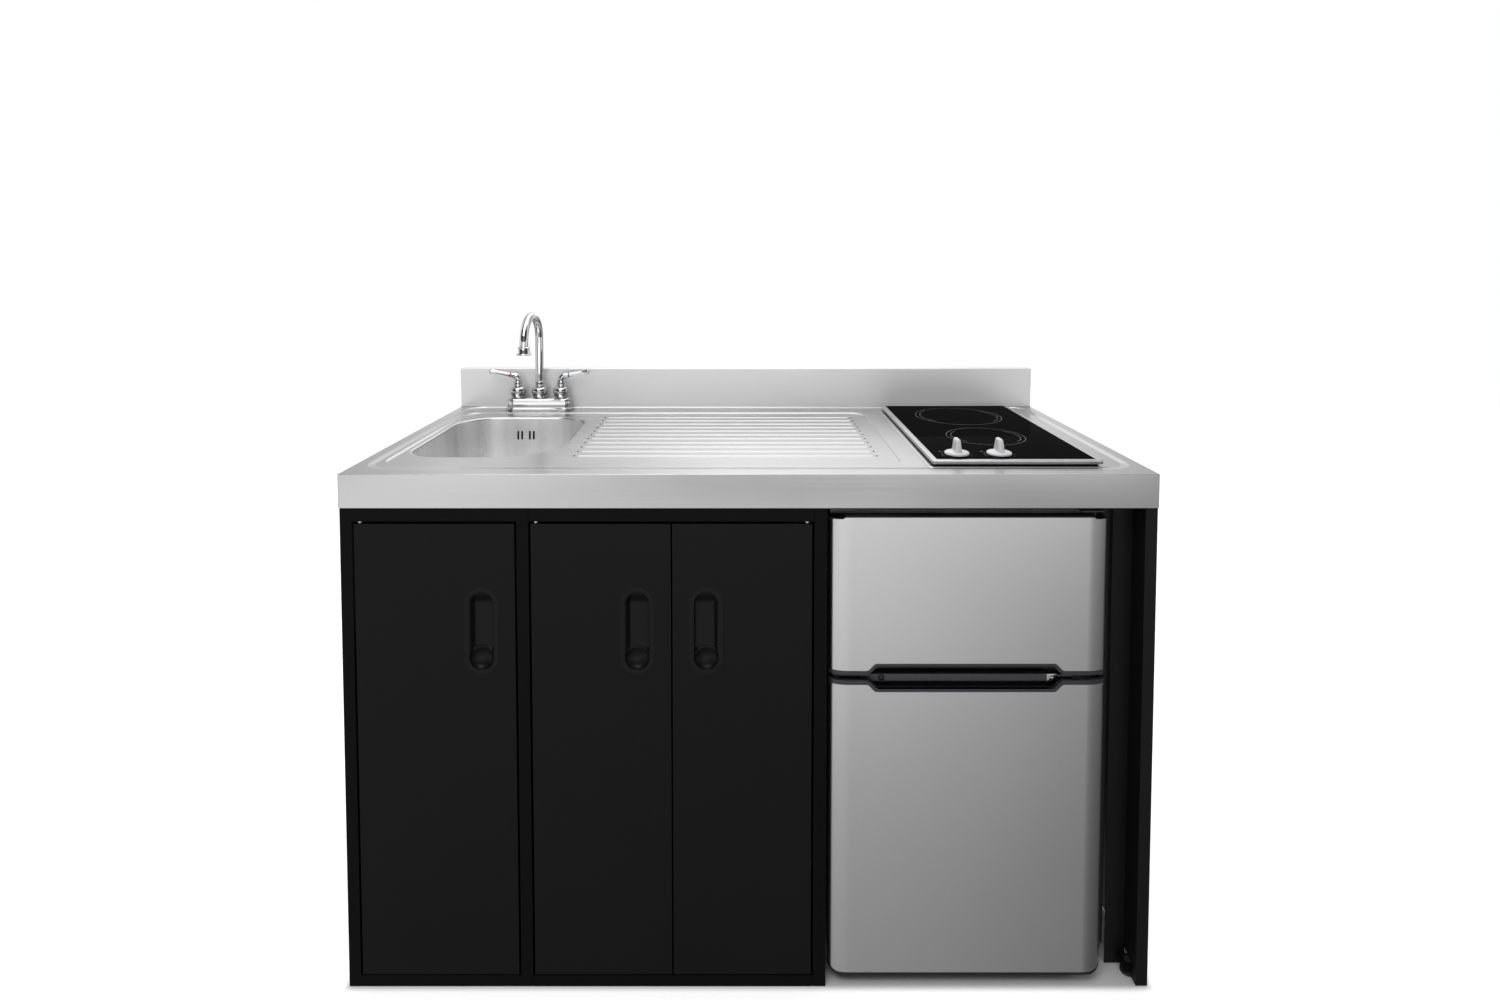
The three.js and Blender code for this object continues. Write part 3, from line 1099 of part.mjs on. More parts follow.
function fridgeLiner() {
  const edge = 6;
  const flange = block(edge, FRIDGE_WIDTH - edge, linerFront, linerFront + LINER_SHEET,
    FRIDGE_BASE + edge, FRIDGE_TOP - edge);
  const outside = common(
    cavities(LINER_SHEET),
    block(0, FRIDGE_WIDTH, linerFront, FRIDGE_DEPTH, FRIDGE_BASE, FRIDGE_TOP),
  );
  const ledge = (x) => block(x, x + SHELF_LEDGE + 1, CONTENTS_SETBACK, linerFront + CHILLER_CAVITY_DEPTH,
    GLASS_SHELF_HEIGHT - SHELF_LEDGE, GLASS_SHELF_HEIGHT - SEAM);
  const spindleHole = turned([[0, -1], [FRIDGE_PIN_RADIUS + PIN_CLEARANCE, -1],
    [FRIDGE_PIN_RADIUS + PIN_CLEARANCE, LINER_SHEET + 1], [0, LINER_SHEET + 1]], 0, 0, 16);
  spindleHole.rotateY(Math.PI / 2).translate(cavityX[1], THERMOSTAT_Y, THERMOSTAT_HEIGHT);
  return cut(
    join(cut(join(flange, outside), cavities(0)), ledge(cavityX[0] - 1), ledge(cavityX[1] - SHELF_LEDGE)),
    spindleHole,
  );
}

// A fridge door seen from above, with round front edges.
const doorSection = () => {
  const rounded = roundedRectangle(0, FRIDGE_WIDTH, 0, 2 * FRIDGE_DOOR_DEPTH, FRIDGE_DOOR_RADIUS, 4);
  return rounded.map(({ x, y }) => point(x, Math.min(y, FRIDGE_DOOR_DEPTH)))
    .filter((p, i, all) => i === 0 || p.distanceTo(all[i - 1]) > 1e-6);
};

// The raised middle of a handle strip: it starts at the door's edge and narrows away from it.
function gripOutline(edge, away, grow) {
  const foot = edge - away * SEAM;
  const tip = edge + away * (HANDLE_RISE + grow);
  const x0 = HANDLE_LEFT - grow;
  const x1 = HANDLE_LEFT + HANDLE_WIDTH + grow;
  return [point(x0, foot), point(x1, foot), point(x1 - HANDLE_SLANT, tip), point(x0 + HANDLE_SLANT, tip)];
}

const fridgePinHole = (z0, z1) => rod(FRIDGE_PIN_RADIUS + PIN_CLEARANCE, z0, z1, ...hingePoint, 16);

function fridgeDoorBody(z0, z1, gripEdge, away, ...holes) {
  const body = prism(doorSection(), 'z', z0, z1);
  const pocket = prism(gripOutline(gripEdge, away, SEAM), 'y', -1, HANDLE_DEPTH + SEAM);
  return cut(body, pocket, ...holes);
}

function freezerDoorBody() {
  const bottom = upperDoorBottom + HANDLE_BAND;
  return fridgeDoorBody(bottom, FRIDGE_DOOR_TOP, bottom, 1,
    fridgePinHole(FRIDGE_DOOR_TOP - FRIDGE_CORNER_PIN_REACH - SEAM, FRIDGE_DOOR_TOP + 1));
}

function chillerDoorBody() {
  const top = lowerDoorTop - HANDLE_BAND;
  const rounded = roundedRectangle(-1, FRIDGE_WIDTH + 1, FRIDGE_DOOR_BOTTOM,
    top + FRIDGE_FOOT_CORNER * 2, FRIDGE_FOOT_CORNER, 5);
  const pinTop = FRIDGE_BASE - SEAM + FRIDGE_CORNER_PIN_REACH + SEAM;
  return common(
    fridgeDoorBody(FRIDGE_DOOR_BOTTOM, top, top, -1, fridgePinHole(FRIDGE_DOOR_BOTTOM - 1, pinTop)),
    prism(rounded, 'y', -1, FRIDGE_DOOR_DEPTH + 1),
  );
}

// The black strip on a door's edge, with a scooped grip. Its edge faces the other door.
function handleStrip(edge, away) {
  const inner = edge + away * (HANDLE_BAND - SEAM);
  const band = prism(doorSection(), 'z', Math.min(edge, inner), Math.max(edge, inner));
  const grip = prism(gripOutline(edge + away * HANDLE_BAND, away, 0), 'y', 0, HANDLE_DEPTH);
  const height = HANDLE_BAND + HANDLE_RISE - 1.5;
  const curve = Array.from({ length: 7 }, (_, i) => {
    const turn = (Math.PI / 2) * (i / 6);
    return point(SCOOP_DEPTH * Math.sin(turn), edge + away * height * Math.cos(turn));
  });
  const profile = [point(-1, edge - away), point(-1, edge + away * height), ...curve,
    point(SCOOP_DEPTH, edge - away)];
  const x0 = HANDLE_LEFT + HANDLE_SLANT + SCOOP_MARGIN;
  const x1 = HANDLE_LEFT + HANDLE_WIDTH - HANDLE_SLANT - SCOOP_MARGIN;
  const hole = [edge - away, edge + away * (FRIDGE_PIN_REACH - 1)].sort((p, q) => p - q);
  return cut(join(band, grip), prism(profile, 'x', x0, x1), fridgePinHole(...hole));
}

function doorInner(z0, z1, dikeZ0, dikeZ1, depth, bins) {
  const edge = 10;
  const plate = block(edge, FRIDGE_WIDTH - edge, doorLinerFront, doorLinerFront + LINER_SHEET,
    z0 + edge, z1 - edge);
  const x = [cavityX[0] + DIKE_GAP, cavityX[1] - DIKE_GAP];
  const y = [doorLinerFront, linerFront + depth];
  const dike = cut(
    block(...x, ...y, dikeZ0, dikeZ1),
    block(x[0] + DIKE_WALL, x[1] - DIKE_WALL, y[0] + LINER_SHEET, y[1] + 1,
      dikeZ0 + DIKE_WALL, dikeZ1 - DIKE_WALL),
  );
  const shelves = bins.flatMap((height) => {
    const floor = dikeZ0 + height;
    return [
      block(x[0] + 1, x[1] - 1, y[0], y[1] - 1, floor, floor + BIN_FLOOR),
      block(x[0] + 1, x[1] - 1, y[1] - 1 - BIN_FLOOR, y[1] - 1, floor, floor + BIN_GUARD),
    ];
  });
  return join(plate, dike, ...shelves);
}

function gasket(floor, ceiling) {
  const ring = (reach) => [cavityX[0] - reach, cavityX[1] + reach, floor - reach, ceiling + reach];
  const frame = (reach, y0, y1) => prism(roundedRectangle(...ring(reach), 4, 2), 'y', y0, y1);
  return cut(
    frame(GASKET_MARGIN + GASKET_WIDTH, gasketFront, gasketFront + GASKET_DEPTH),
    frame(GASKET_MARGIN, gasketFront - 1, gasketFront + GASKET_DEPTH + 1),
  );
}

const hingeX = [hingePoint[0] - HINGE_WIDTH / 2 - 5, hingePoint[0] + HINGE_WIDTH / 2 - 8];

// A flat hinge plate with one pin. The pin points up for a direction of 1 and down for -1.
function cornerHinge(plateZ, direction, reach) {
  const plate = block(...hingeX, HINGE_FRONT, HINGE_REACH, plateZ, plateZ + HINGE_PLATE);
  const root = plateZ + HINGE_PLATE / 2;
  const end = direction > 0 ? plateZ + HINGE_PLATE + reach : plateZ - reach;
  return join(plate, rod(FRIDGE_PIN_RADIUS, Math.min(root, end), Math.max(root, end), ...hingePoint, 16));
}

function centreHinge() {
  const z = [FRIDGE_SPLIT - HINGE_PLATE / 2, FRIDGE_SPLIT + HINGE_PLATE / 2];
  const tabBack = linerFront - SEAM;
  const plate = block(...hingeX, HINGE_FRONT, tabBack, ...z);
  const tab = block(hingeX[0], hingeX[1], tabBack - HINGE_PLATE, tabBack,
    FRIDGE_SPLIT - 2.5, FRIDGE_SPLIT + 2.5);
  const reach = FRIDGE_SPLIT_GAP / 2 + FRIDGE_PIN_REACH - 2;
  const pin = rod(FRIDGE_PIN_RADIUS, FRIDGE_SPLIT - reach, FRIDGE_SPLIT + reach, ...hingePoint, 16);
  return join(plate, tab, pin);
}

function fridgeFoot(x) {
  return turned([[0, 0], [FRIDGE_FOOT_RADIUS, 0], [FRIDGE_FOOT_RADIUS, FRIDGE_FOOT_PAD],
    [FOOT_STUD_RADIUS, FRIDGE_FOOT_PAD + 3], [FOOT_STUD_RADIUS, FRIDGE_BASE + 10], [0, FRIDGE_BASE + 10]],
  x, FRIDGE_FOOT_Y, 20);
}

function compressor() {
  const z = FRIDGE_BASE + 4 + SEAM;
  const [r, h] = [COMPRESSOR_WIDTH / 2, COMPRESSOR_HEIGHT];
  const pot = turned([[0, z], [r * 0.75, z], [r * 0.95, z + h * 0.1], [r, z + h * 0.3], [r, z + h * 0.7],
    [r * 0.88, z + h * 0.87], [r * 0.5, z + h * 0.98], [0, z + h]], 0, 0, 24);
  pot.scale(COMPRESSOR_LENGTH / COMPRESSOR_WIDTH, 1, 1);
  return pot.translate(FRIDGE_WIDTH - COMPRESSOR_RIGHT, FRIDGE_DEPTH - MACHINE_DEPTH / 2, 0);
}

function crisper() {
  const x = [cavityX[0] + CRISPER_SIDE_GAP, cavityX[1] - CRISPER_SIDE_GAP];
  const y = [CONTENTS_SETBACK, linerFront + HUMP_CAVITY_DEPTH - 2];
  const z = [CHILLER_FLOOR + SEAM, CHILLER_FLOOR + SEAM + CRISPER_HEIGHT];
  const w = CRISPER_WALL;
  return cut(block(...x, ...y, ...z), block(x[0] + w, x[1] - w, y[0] + w, y[1] - w, z[0] + w, z[1] + 1));
}

function glassShelf() {
  return block(cavityX[0] + 1, cavityX[1] - 1, CONTENTS_SETBACK, linerFront + CHILLER_CAVITY_DEPTH - 1,
    GLASS_SHELF_HEIGHT, GLASS_SHELF_HEIGHT + GLASS_SHELF_THICKNESS);
}

// A knob on the right wall of the chiller, turned about an axis that points into the wall.
function thermostatKnob() {
  const r = THERMOSTAT_RADIUS;
  const knob = turned([[0, -THERMOSTAT_THICKNESS], [r - 3, -THERMOSTAT_THICKNESS],
    [r - 1, -THERMOSTAT_THICKNESS + 2], [r, -SEAM], [FRIDGE_PIN_RADIUS, -SEAM],
    [FRIDGE_PIN_RADIUS, LINER_SHEET], [0, LINER_SHEET]], 0, 0, 24);
  const grip = block(-2, 2, -r + 3, r - 3, -THERMOSTAT_THICKNESS - 4, -THERMOSTAT_THICKNESS + 1);
  const turn = new THREE.Matrix4().makeRotationY(Math.PI / 2);
  return join(knob.applyMatrix4(turn), grip.applyMatrix4(turn));
}

function fridge() {
  const footRight = FRIDGE_WIDTH - FRIDGE_FOOT_INSET - HINGE_WIDTH / 2;
  const dike = [CHILLER_FLOOR + DIKE_GAP, CHILLER_CEILING - DIKE_GAP];
  const freezerDike = [FREEZER_FLOOR + DIKE_GAP, FREEZER_CEILING - DIKE_GAP];
  return assembly(
    fridgeLeft, front + FRIDGE_SETBACK, 0,
    piece('fridge_case', fridgeCase(), 'blackSteel'),
    piece('fridge_liner', fridgeLiner(), 'whitePlastic'),
    piece('compressor', compressor(), 'blackSteel'),
    piece('glass_shelf', glassShelf(), 'clearGlass'),
    piece('crisper', crisper(), 'clearGlass'),
    assembly(cavityX[1], THERMOSTAT_Y, THERMOSTAT_HEIGHT,
      piece('thermostat_knob', thermostatKnob(), 'whitePlastic')),
    piece('top_hinge', cornerHinge(FRIDGE_TOP + SEAM, -1,
      FRIDGE_TOP + SEAM - FRIDGE_DOOR_TOP + FRIDGE_CORNER_PIN_REACH), 'zincSteel'),
    piece('centre_hinge', centreHinge(), 'zincSteel'),
    piece('bottom_hinge', cornerHinge(FRIDGE_BASE - SEAM - HINGE_PLATE, 1, FRIDGE_CORNER_PIN_REACH), 'zincSteel'),
    piece('left_fridge_foot', fridgeFoot(FRIDGE_FOOT_INSET), 'blackPlastic'),
    piece('right_fridge_foot', fridgeFoot(footRight), 'blackPlastic'),
    piece('freezer_door', freezerDoorBody(), 'doorSteel'),
    piece('freezer_handle', handleStrip(upperDoorBottom, 1), 'blackPlastic'),
    piece('freezer_door_liner', doorInner(upperDoorBottom, FRIDGE_DOOR_TOP, ...freezerDike,
      FREEZER_DIKE_DEPTH, [0]), 'whitePlastic'),
    piece('freezer_gasket', gasket(FREEZER_FLOOR, FREEZER_CEILING), 'paleRubber'),
    piece('fridge_door', chillerDoorBody(), 'doorSteel'),
    piece('fridge_handle', handleStrip(lowerDoorTop, -1), 'blackPlastic'),
    piece('fridge_door_liner', doorInner(FRIDGE_DOOR_BOTTOM, lowerDoorTop, ...dike,
      CHILLER_DIKE_DEPTH, CHILLER_BINS), 'whitePlastic'),
    piece('fridge_gasket', gasket(CHILLER_FLOOR, CHILLER_CEILING), 'paleRubber'),
  );
}

// ---------------------------------------------------------------- the whole unit

const pairWidth = (doorSpans.pair[1] - doorSpans.pair[0] - DOOR_MEETING_GAP) / 2;

const kitchenette = assembly(
  0, 0, 0,
  piece('left_face_frame', leftFaceFrame(), 'blackSteel'),
  piece('middle_top_rail', middleRail(topRailBottom, cabinetTop, topRailBottom), 'blackSteel'),
  piece('middle_bottom_rail', middleRail(0, BOTTOM_RAIL_HEIGHT, BOTTOM_RAIL_HEIGHT), 'blackSteel'),
  piece('right_post', rightPost(), 'blackSteel'),
  piece('left_side_panel', sidePanel(cabinetLeft, 1, 0), 'blackSteel'),
  piece('partition_panel', partitionPanel(), 'blackSteel'),
  piece('bay_side_panel', sidePanel(middleCabinetRight, -1, 0), 'blackSteel'),
  piece('cabinet_floor', cabinetFloor(), 'blackSteel'),
  piece('cabinet_back_panel', cabinetBackPanel(), 'blackSteel'),
  piece('middle_shelf', middleShelf(), 'blackSteel'),
  piece('right_end_panel', rightEndPanel(), 'blackSteel'),
  piece('front_foot', levellingFoot(frontFootY), 'blackPlastic'),
  piece('rear_foot', levellingFoot(rearFootY), 'blackPlastic'),
  cabinetDoor('left', pivots.left, doorSpans.left[1] - doorSpans.left[0], 1),
  cabinetDoor('middle_left', pivots.middleLeft, pairWidth, 1),
  cabinetDoor('middle_right', pivots.middleRight, pairWidth, -1),
  piece('worktop', worktop(), 'brushedSteel'),
  piece('backsplash', backsplash(), 'brushedSteel'),
  piece('sink_bowl', sinkBowl(), 'satinSteel'),
  piece('drain_body', drainBody(), 'satinSteel'),
  piece('basket_strainer', basketStrainer(), 'chrome'),
  piece('drain_trap', drainTrap(), 'whitePlastic'),
  tap(),
  hob(),
  fridge(),
);
kitchenette.name = 'kitchenette_unit';

export default kitchenette;
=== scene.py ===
"""Dresses the kitchenette unit: its finishes, its soft pressed and rounded forms, and its small fittings.

Everything is in metres, in the frame of the solids: +X to the right of someone facing the doors,
+Y towards the wall, +Z up, with the origin on the floor. MM turns a real size in millimetres
into metres.
"""

import json
import math

import bmesh
import bpy
from mathutils import Matrix, Vector
from mathutils.geometry import delaunay_2d_cdt


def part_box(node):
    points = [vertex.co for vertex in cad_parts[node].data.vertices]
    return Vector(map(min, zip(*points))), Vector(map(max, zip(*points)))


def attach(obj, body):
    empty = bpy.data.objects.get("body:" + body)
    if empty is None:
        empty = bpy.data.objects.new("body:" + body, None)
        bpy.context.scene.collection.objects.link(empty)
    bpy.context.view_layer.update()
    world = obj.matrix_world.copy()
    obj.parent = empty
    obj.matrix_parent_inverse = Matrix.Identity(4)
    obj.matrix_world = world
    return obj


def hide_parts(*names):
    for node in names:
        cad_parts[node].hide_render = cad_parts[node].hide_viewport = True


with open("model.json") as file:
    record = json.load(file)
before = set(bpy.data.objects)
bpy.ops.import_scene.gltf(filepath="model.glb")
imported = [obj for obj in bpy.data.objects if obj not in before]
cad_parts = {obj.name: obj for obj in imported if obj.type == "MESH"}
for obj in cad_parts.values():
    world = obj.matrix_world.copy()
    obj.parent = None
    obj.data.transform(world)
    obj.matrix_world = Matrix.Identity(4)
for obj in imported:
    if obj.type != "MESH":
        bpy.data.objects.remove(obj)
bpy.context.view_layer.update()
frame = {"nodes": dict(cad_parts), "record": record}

MM = 0.001
scene = bpy.context.scene
body_of = {node: body for body, nodes in frame["record"]["behaviour"]["bodies"].items() for node in nodes}
slot_of = {part["node"]: part["material_slot"] for part in frame["record"]["subparts"]}

top_low, top_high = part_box("worktop")
splash_low, splash_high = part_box("backsplash")
drain_low, drain_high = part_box("drain_body")
hob_low, hob_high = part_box("hob_frame")


def plan_of(node):
    """A node's left, right, front and back."""
    low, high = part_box(node)
    return low.x, high.x, low.y, high.y


def middle_of(node):
    """The (x, y) of a node's middle."""
    x0, x1, y0, y1 = plan_of(node)
    return (x0 + x1) / 2, (y0 + y1) / 2


def link(obj):
    scene.collection.objects.link(obj)
    return obj


def wire(tree, node, inputs):
    """Gives each of a node's inputs its value, or links it to the output that is given for it."""
    for key, value in inputs.items():
        if isinstance(value, bpy.types.NodeSocket):
            tree.links.new(value, node.inputs[key])
        else:
            node.inputs[key].default_value = value


def add_node(tree, kind, inputs, **settings):
    """Adds a shader node and returns its outputs."""
    node = tree.nodes.new("ShaderNode" + kind)
    for name, value in settings.items():
        setattr(node, name, value)
    wire(tree, node, inputs)
    return node.outputs


# ------------------------------------------------------------------ camera and light

CAMERA_PLACE = (-0.0152, -1.6475, 1.2555)
CAMERA_TILT = 2.5  # degrees below level
CAMERA_LENS = 19.4
CAMERA_SHIFT = (0.007, -0.14)
# Each softbox's place, the point that it faces, its size and its power.
SOFTBOXES = {
    "top_softbox": ((-0.2, 0.1, 2.7), (0, 0, 0.9), (2.6, 1.8), 15),
    "front_softbox": ((-0.7, -2.1, 3.1), (0, -0.3, 0.7), (1.8, 1.2), 26),
}


def add_camera():
    data = bpy.data.cameras.new("camera")
    data.lens = CAMERA_LENS
    data.sensor_width = 36
    data.shift_x, data.shift_y = CAMERA_SHIFT
    data.clip_start = 0.01
    scene.camera = link(bpy.data.objects.new("camera", data))
    scene.camera.location = CAMERA_PLACE
    scene.camera.rotation_euler = (math.radians(90 - CAMERA_TILT), 0, 0)


def add_softbox(name, place, target, size, power):
    data = bpy.data.lights.new(name, "AREA")
    data.shape = "RECTANGLE"
    data.size, data.size_y = size
    data.energy = power
    light = link(bpy.data.objects.new(name, data))
    light.location = place
    light.rotation_euler = (Vector(target) - Vector(place)).to_track_quat("-Z", "Y").to_euler()
    light.visible_camera = False


# How bright the studio is, by the height of a direction, from straight down to straight up, and by how
# far it points to the left or right. In front it has sides of its own for deep, low and high directions.
STUDIO_HEIGHTS = (
    (-1.0, 0.05), (-0.66, 0.115), (-0.55, 0.15), (-0.47, 0.225), (-0.4, 0.37), (-0.28, 0.39),
    (-0.16, 0.70), (-0.02, 0.78), (0.05, 0.70), (0.12, 0.10), (0.6, 0.07), (0.8, 0.24), (1.0, 0.32))
STUDIO_DEEP_SIDES = (
    (-1.0, 0.1), (-0.9, 0.2), (-0.82, 0.9), (-0.5, 1.0), (0.02, 1.0), (0.13, 1.0), (0.2, 0.86),
    (0.32, 0.47), (0.4, 0.26), (0.5, 0.22), (0.7, 0.2), (1.0, 0.1))
STUDIO_LOW_SIDES = (
    (-1.0, 0.1), (-0.9, 0.2), (-0.82, 0.9), (-0.42, 0.86), (-0.28, 0.72), (-0.15, 0.50), (0.0, 0.36),
    (0.2, 0.31), (0.35, 0.30), (0.45, 0.34), (0.7, 0.2), (1.0, 0.1))
STUDIO_HIGH_SIDES = (
    (-1.0, 0.5), (-0.8, 0.05), (-0.72, 0.7), (-0.62, 0.05), (-0.46, 0.05), (-0.38, 0.46), (-0.3, 0.74),
    (0.0, 0.87), (0.15, 1.0), (0.4, 1.0), (0.48, 0.05), (0.62, 0.05), (0.70, 0.8), (0.8, 0.05), (1.0, 0.5))
STUDIO_BEHIND_HEIGHTS = (
    (-1.0, 0.15), (-0.3, 0.34), (-0.08, 0.5), (0.05, 1.0), (0.1, 1.0), (0.17, 0.77), (0.28, 0.74),
    (0.36, 0.88), (0.6, 1.0), (0.84, 0.95), (0.93, 0.45), (1.0, 0.4))
STUDIO_BEHIND = (
    (-1.0, 0.45), (-0.6, 0.22), (-0.39, 0.22), (-0.3, 0.37), (-0.21, 0.31), (0.0, 0.56), (0.18, 0.48),
    (0.36, 0.33), (0.45, 0.22), (0.6, 0.20), (1.0, 0.4))
# Where one gives way to the next: by height, by height, and from the front to behind.
DEEP_TO_LOW = (-0.335, -0.305)
LOW_TO_HIGH = (-0.26, -0.16)
FRONT_TO_BEHIND = (-0.2, 0.3)
STUDIO_STRENGTH = 3.0


def add_world():
    """White to the camera; for light and reflections a studio with dark strips between its screens."""
    world = bpy.data.worlds.new("studio")
    scene.world = world
    world.use_nodes = True
    tree = world.node_tree
    tree.nodes.clear()
    x, y, z = add_node(tree, "SeparateXYZ", {0: add_node(tree, "TexCoord", {})["Generated"]})

    def ramp(axis, stops):
        colours = tree.nodes.new("ShaderNodeValToRGB")
        wire(tree, colours, {0: add_node(tree, "MapRange", {"Value": axis, "From Min": -1})[0]})
        colours.color_ramp.interpolation = "EASE"
        elements = colours.color_ramp.elements
        while len(elements) < len(stops):
            elements.new(0.5)
        for element, (at, level) in zip(elements, stops):
            element.position = (at + 1) / 2
            element.color = (level, level, level, 1)
        return colours.outputs[0]

    def blend(axis, limits, first, second):
        """From the first to the second as the direction passes from the lower limit to the upper."""
        share = add_node(tree, "MapRange", {"Value": axis, "From Min": limits[0], "From Max": limits[1]},
                         interpolation_type="SMOOTHSTEP")[0]
        return add_node(tree, "Mix", {0: share, 2: first, 3: second}, data_type="FLOAT")[0]

    def product(first, second):
        return add_node(tree, "Math", {0: first, 1: second}, operation="MULTIPLY")[0]

    sides = blend(z, DEEP_TO_LOW, ramp(x, STUDIO_DEEP_SIDES), ramp(x, STUDIO_LOW_SIDES))
    sides = blend(z, LOW_TO_HIGH, sides, ramp(x, STUDIO_HIGH_SIDES))
    front = product(ramp(z, STUDIO_HEIGHTS), sides)
    behind = product(ramp(z, STUDIO_BEHIND_HEIGHTS), ramp(x, STUDIO_BEHIND))
    studio = add_node(tree, "Background", {"Strength": STUDIO_STRENGTH,
                                           "Color": blend(y, FRONT_TO_BEHIND, front, behind)})[0]
    white = add_node(tree, "Background", {"Color": (1, 1, 1, 1)})[0]
    seen = add_node(tree, "LightPath", {})["Is Camera Ray"]
    add_node(tree, "OutputWorld", {"Surface": add_node(tree, "MixShader", {0: seen, 1: studio, 2: white})[0]})


# ------------------------------------------------------------------ materials


def make_grain_group():
    """Streaks, or an even grain where the stretch is equal, with slow changes of tone beneath them."""
    group = bpy.data.node_groups.new("surface_grain", "ShaderNodeTree")
    for name, kind, value in (("Stretch", "Vector", (1, 1, 1)), ("Cloud Stretch", "Vector", (4, 4, 4)),
                              ("Dark", "Color", (0, 0, 0, 1)), ("Light", "Color", (1, 1, 1, 1)),
                              ("Smooth", "Float", 0.2), ("Rough", "Float", 0.4)):
        socket = group.interface.new_socket(name, in_out="INPUT", socket_type="NodeSocket" + kind)
        socket.default_value = value
    for name, kind in (("Color", "Color"), ("Roughness", "Float"), ("Height", "Float")):
        group.interface.new_socket(name, in_out="OUTPUT", socket_type="NodeSocket" + kind)
    given = group.nodes.new("NodeGroupInput").outputs
    place = add_node(group, "TexCoord", {})["Object"]

    def noise(stretch, **inputs):
        spot = add_node(group, "VectorMath", {0: place, 1: given[stretch]}, operation="MULTIPLY")[0]
        return add_node(group, "TexNoise", {"Vector": spot, "Scale": 1.0, **inputs})["Fac"]

    streaks = noise("Stretch", Detail=5.0, Roughness=0.65)
    clouds = add_node(group, "Math", {0: noise("Cloud Stretch", Detail=3.0), 1: 0.5}, operation="MULTIPLY")[0]
    both = add_node(group, "Math", {0: streaks, 1: 0.5, 2: clouds}, operation="MULTIPLY_ADD")[0]
    share = add_node(group, "MapRange", {"Value": both, "From Min": 0.34, "From Max": 0.66})[0]
    colour = add_node(group, "Mix", {0: share, 6: given["Dark"], 7: given["Light"]}, data_type="RGBA")[2]
    rough = add_node(group, "Mix", {0: share, 2: given["Smooth"], 3: given["Rough"]}, data_type="FLOAT")[0]
    wire(group, group.nodes.new("NodeGroupOutput"), {"Color": colour, "Roughness": rough, "Height": streaks})
    return group


grain_group = make_grain_group()


def shade(level):
    """A colour from a grey level, or from a level with its tint."""
    level, tint = level if isinstance(level, tuple) else (level, (1, 1, 1))
    return tuple(level * part for part in tint) + (1,)


def finish(name, dark, light, rough, stretch, bump=0.0, cloud=4.0, metallic=0.0, **uniform):
    """A material whose colour, roughness and height come from one grain."""
    material = bpy.data.materials.new(name)
    material.use_nodes = True
    material.diffuse_color = shade(light)
    tree = material.node_tree
    grain = add_node(tree, "Group", {
        "Stretch": stretch, "Cloud Stretch": cloud if isinstance(cloud, tuple) else (cloud,) * 3,
        "Dark": shade(dark), "Light": shade(light), "Smooth": rough[0], "Rough": rough[1],
    }, node_tree=grain_group)
    inputs = {socket.replace("_", " "): value for socket, value in uniform.items()}
    if bump:
        inputs["Normal"] = add_node(tree, "Bump", {
            "Strength": 1.0, "Distance": bump, "Height": grain["Height"]})[0]
    wire(tree, tree.nodes["Principled BSDF"], {
        "Metallic": metallic, "Base Color": grain["Color"], "Roughness": grain["Roughness"], **inputs})
    return material


ALONG_X = (3, 1400, 1400)
ALONG_Z = (1400, 1400, 3)
ALONG_DOOR = (700, 700, 40)
BOWL_CLOUD = (34, 34, 3)
EVEN_FINE = (1500, 1500, 1500)
EVEN_MEDIUM = (500, 500, 500)
BLUISH = (1, 1, 1.15)
GREENISH = (0.96, 1, 0.99)
CREAM = (1, 0.95, 0.86)

steel = finish("brushed_steel", 0.52, 0.60, (0.24, 0.34), ALONG_X, 12e-6, 3, 1.0)
# A much lighter, partly diffuse copy of the brushed steel: painted light on the backsplash, which also pales
# the dark reflection of the hob's glass in it.
lit_splash_steel = finish("backsplash_painted_lighter", 0.86, 0.93, (0.46, 0.54), ALONG_X, 8e-6, 3, 0.75)
apron_steel = finish("apron_steel", 0.56, 0.61, (0.15, 0.20), ALONG_X, 6e-6, 3, 1.0)
top_steel = finish("pressed_steel", 0.56, 0.62, (0.24, 0.32), ALONG_X, 10e-6, 3, 1.0)
# A lighter, partly diffuse copy of the steel: painted light inside the bowl.
lit_bowl_steel = finish("lit_bowl_steel", 0.79, 1.0, (0.26, 0.38), ALONG_Z, 6e-6, BOWL_CLOUD, 0.85)
door_steel = finish("door_steel", 0.64, (0.67, (1, 1, 1.01)), (0.28, 0.33), ALONG_DOOR, 4e-6, 2, 1.0)
satin_steel = finish("satin_steel", 0.58, 0.66, (0.2, 0.3), ALONG_X, 8e-6, 6, 1.0)
chrome = finish("chrome", 0.64, 0.68, (0.03, 0.08), EVEN_MEDIUM, 0.0, 14, 1.0)
zinc = finish("zinc_plate", 0.50, (0.66, (1, 1, 0.97)), (0.22, 0.4), EVEN_MEDIUM, 10e-6, 30, 1.0)
powder = finish("black_powder_coat", 0.005, 0.007, (0.4, 0.5), EVEN_FINE, 30e-6, 5, Specular_IOR_Level=0.14)
# A lighter, shinier copy of the black powder coat: painted light on the end panel.
lit_end_powder = finish("end_panel_coat_painted_lighter", 0.0065, 0.0085, (0.4, 0.5), EVEN_FINE, 30e-6, 5,
                    Specular_IOR_Level=0.18)
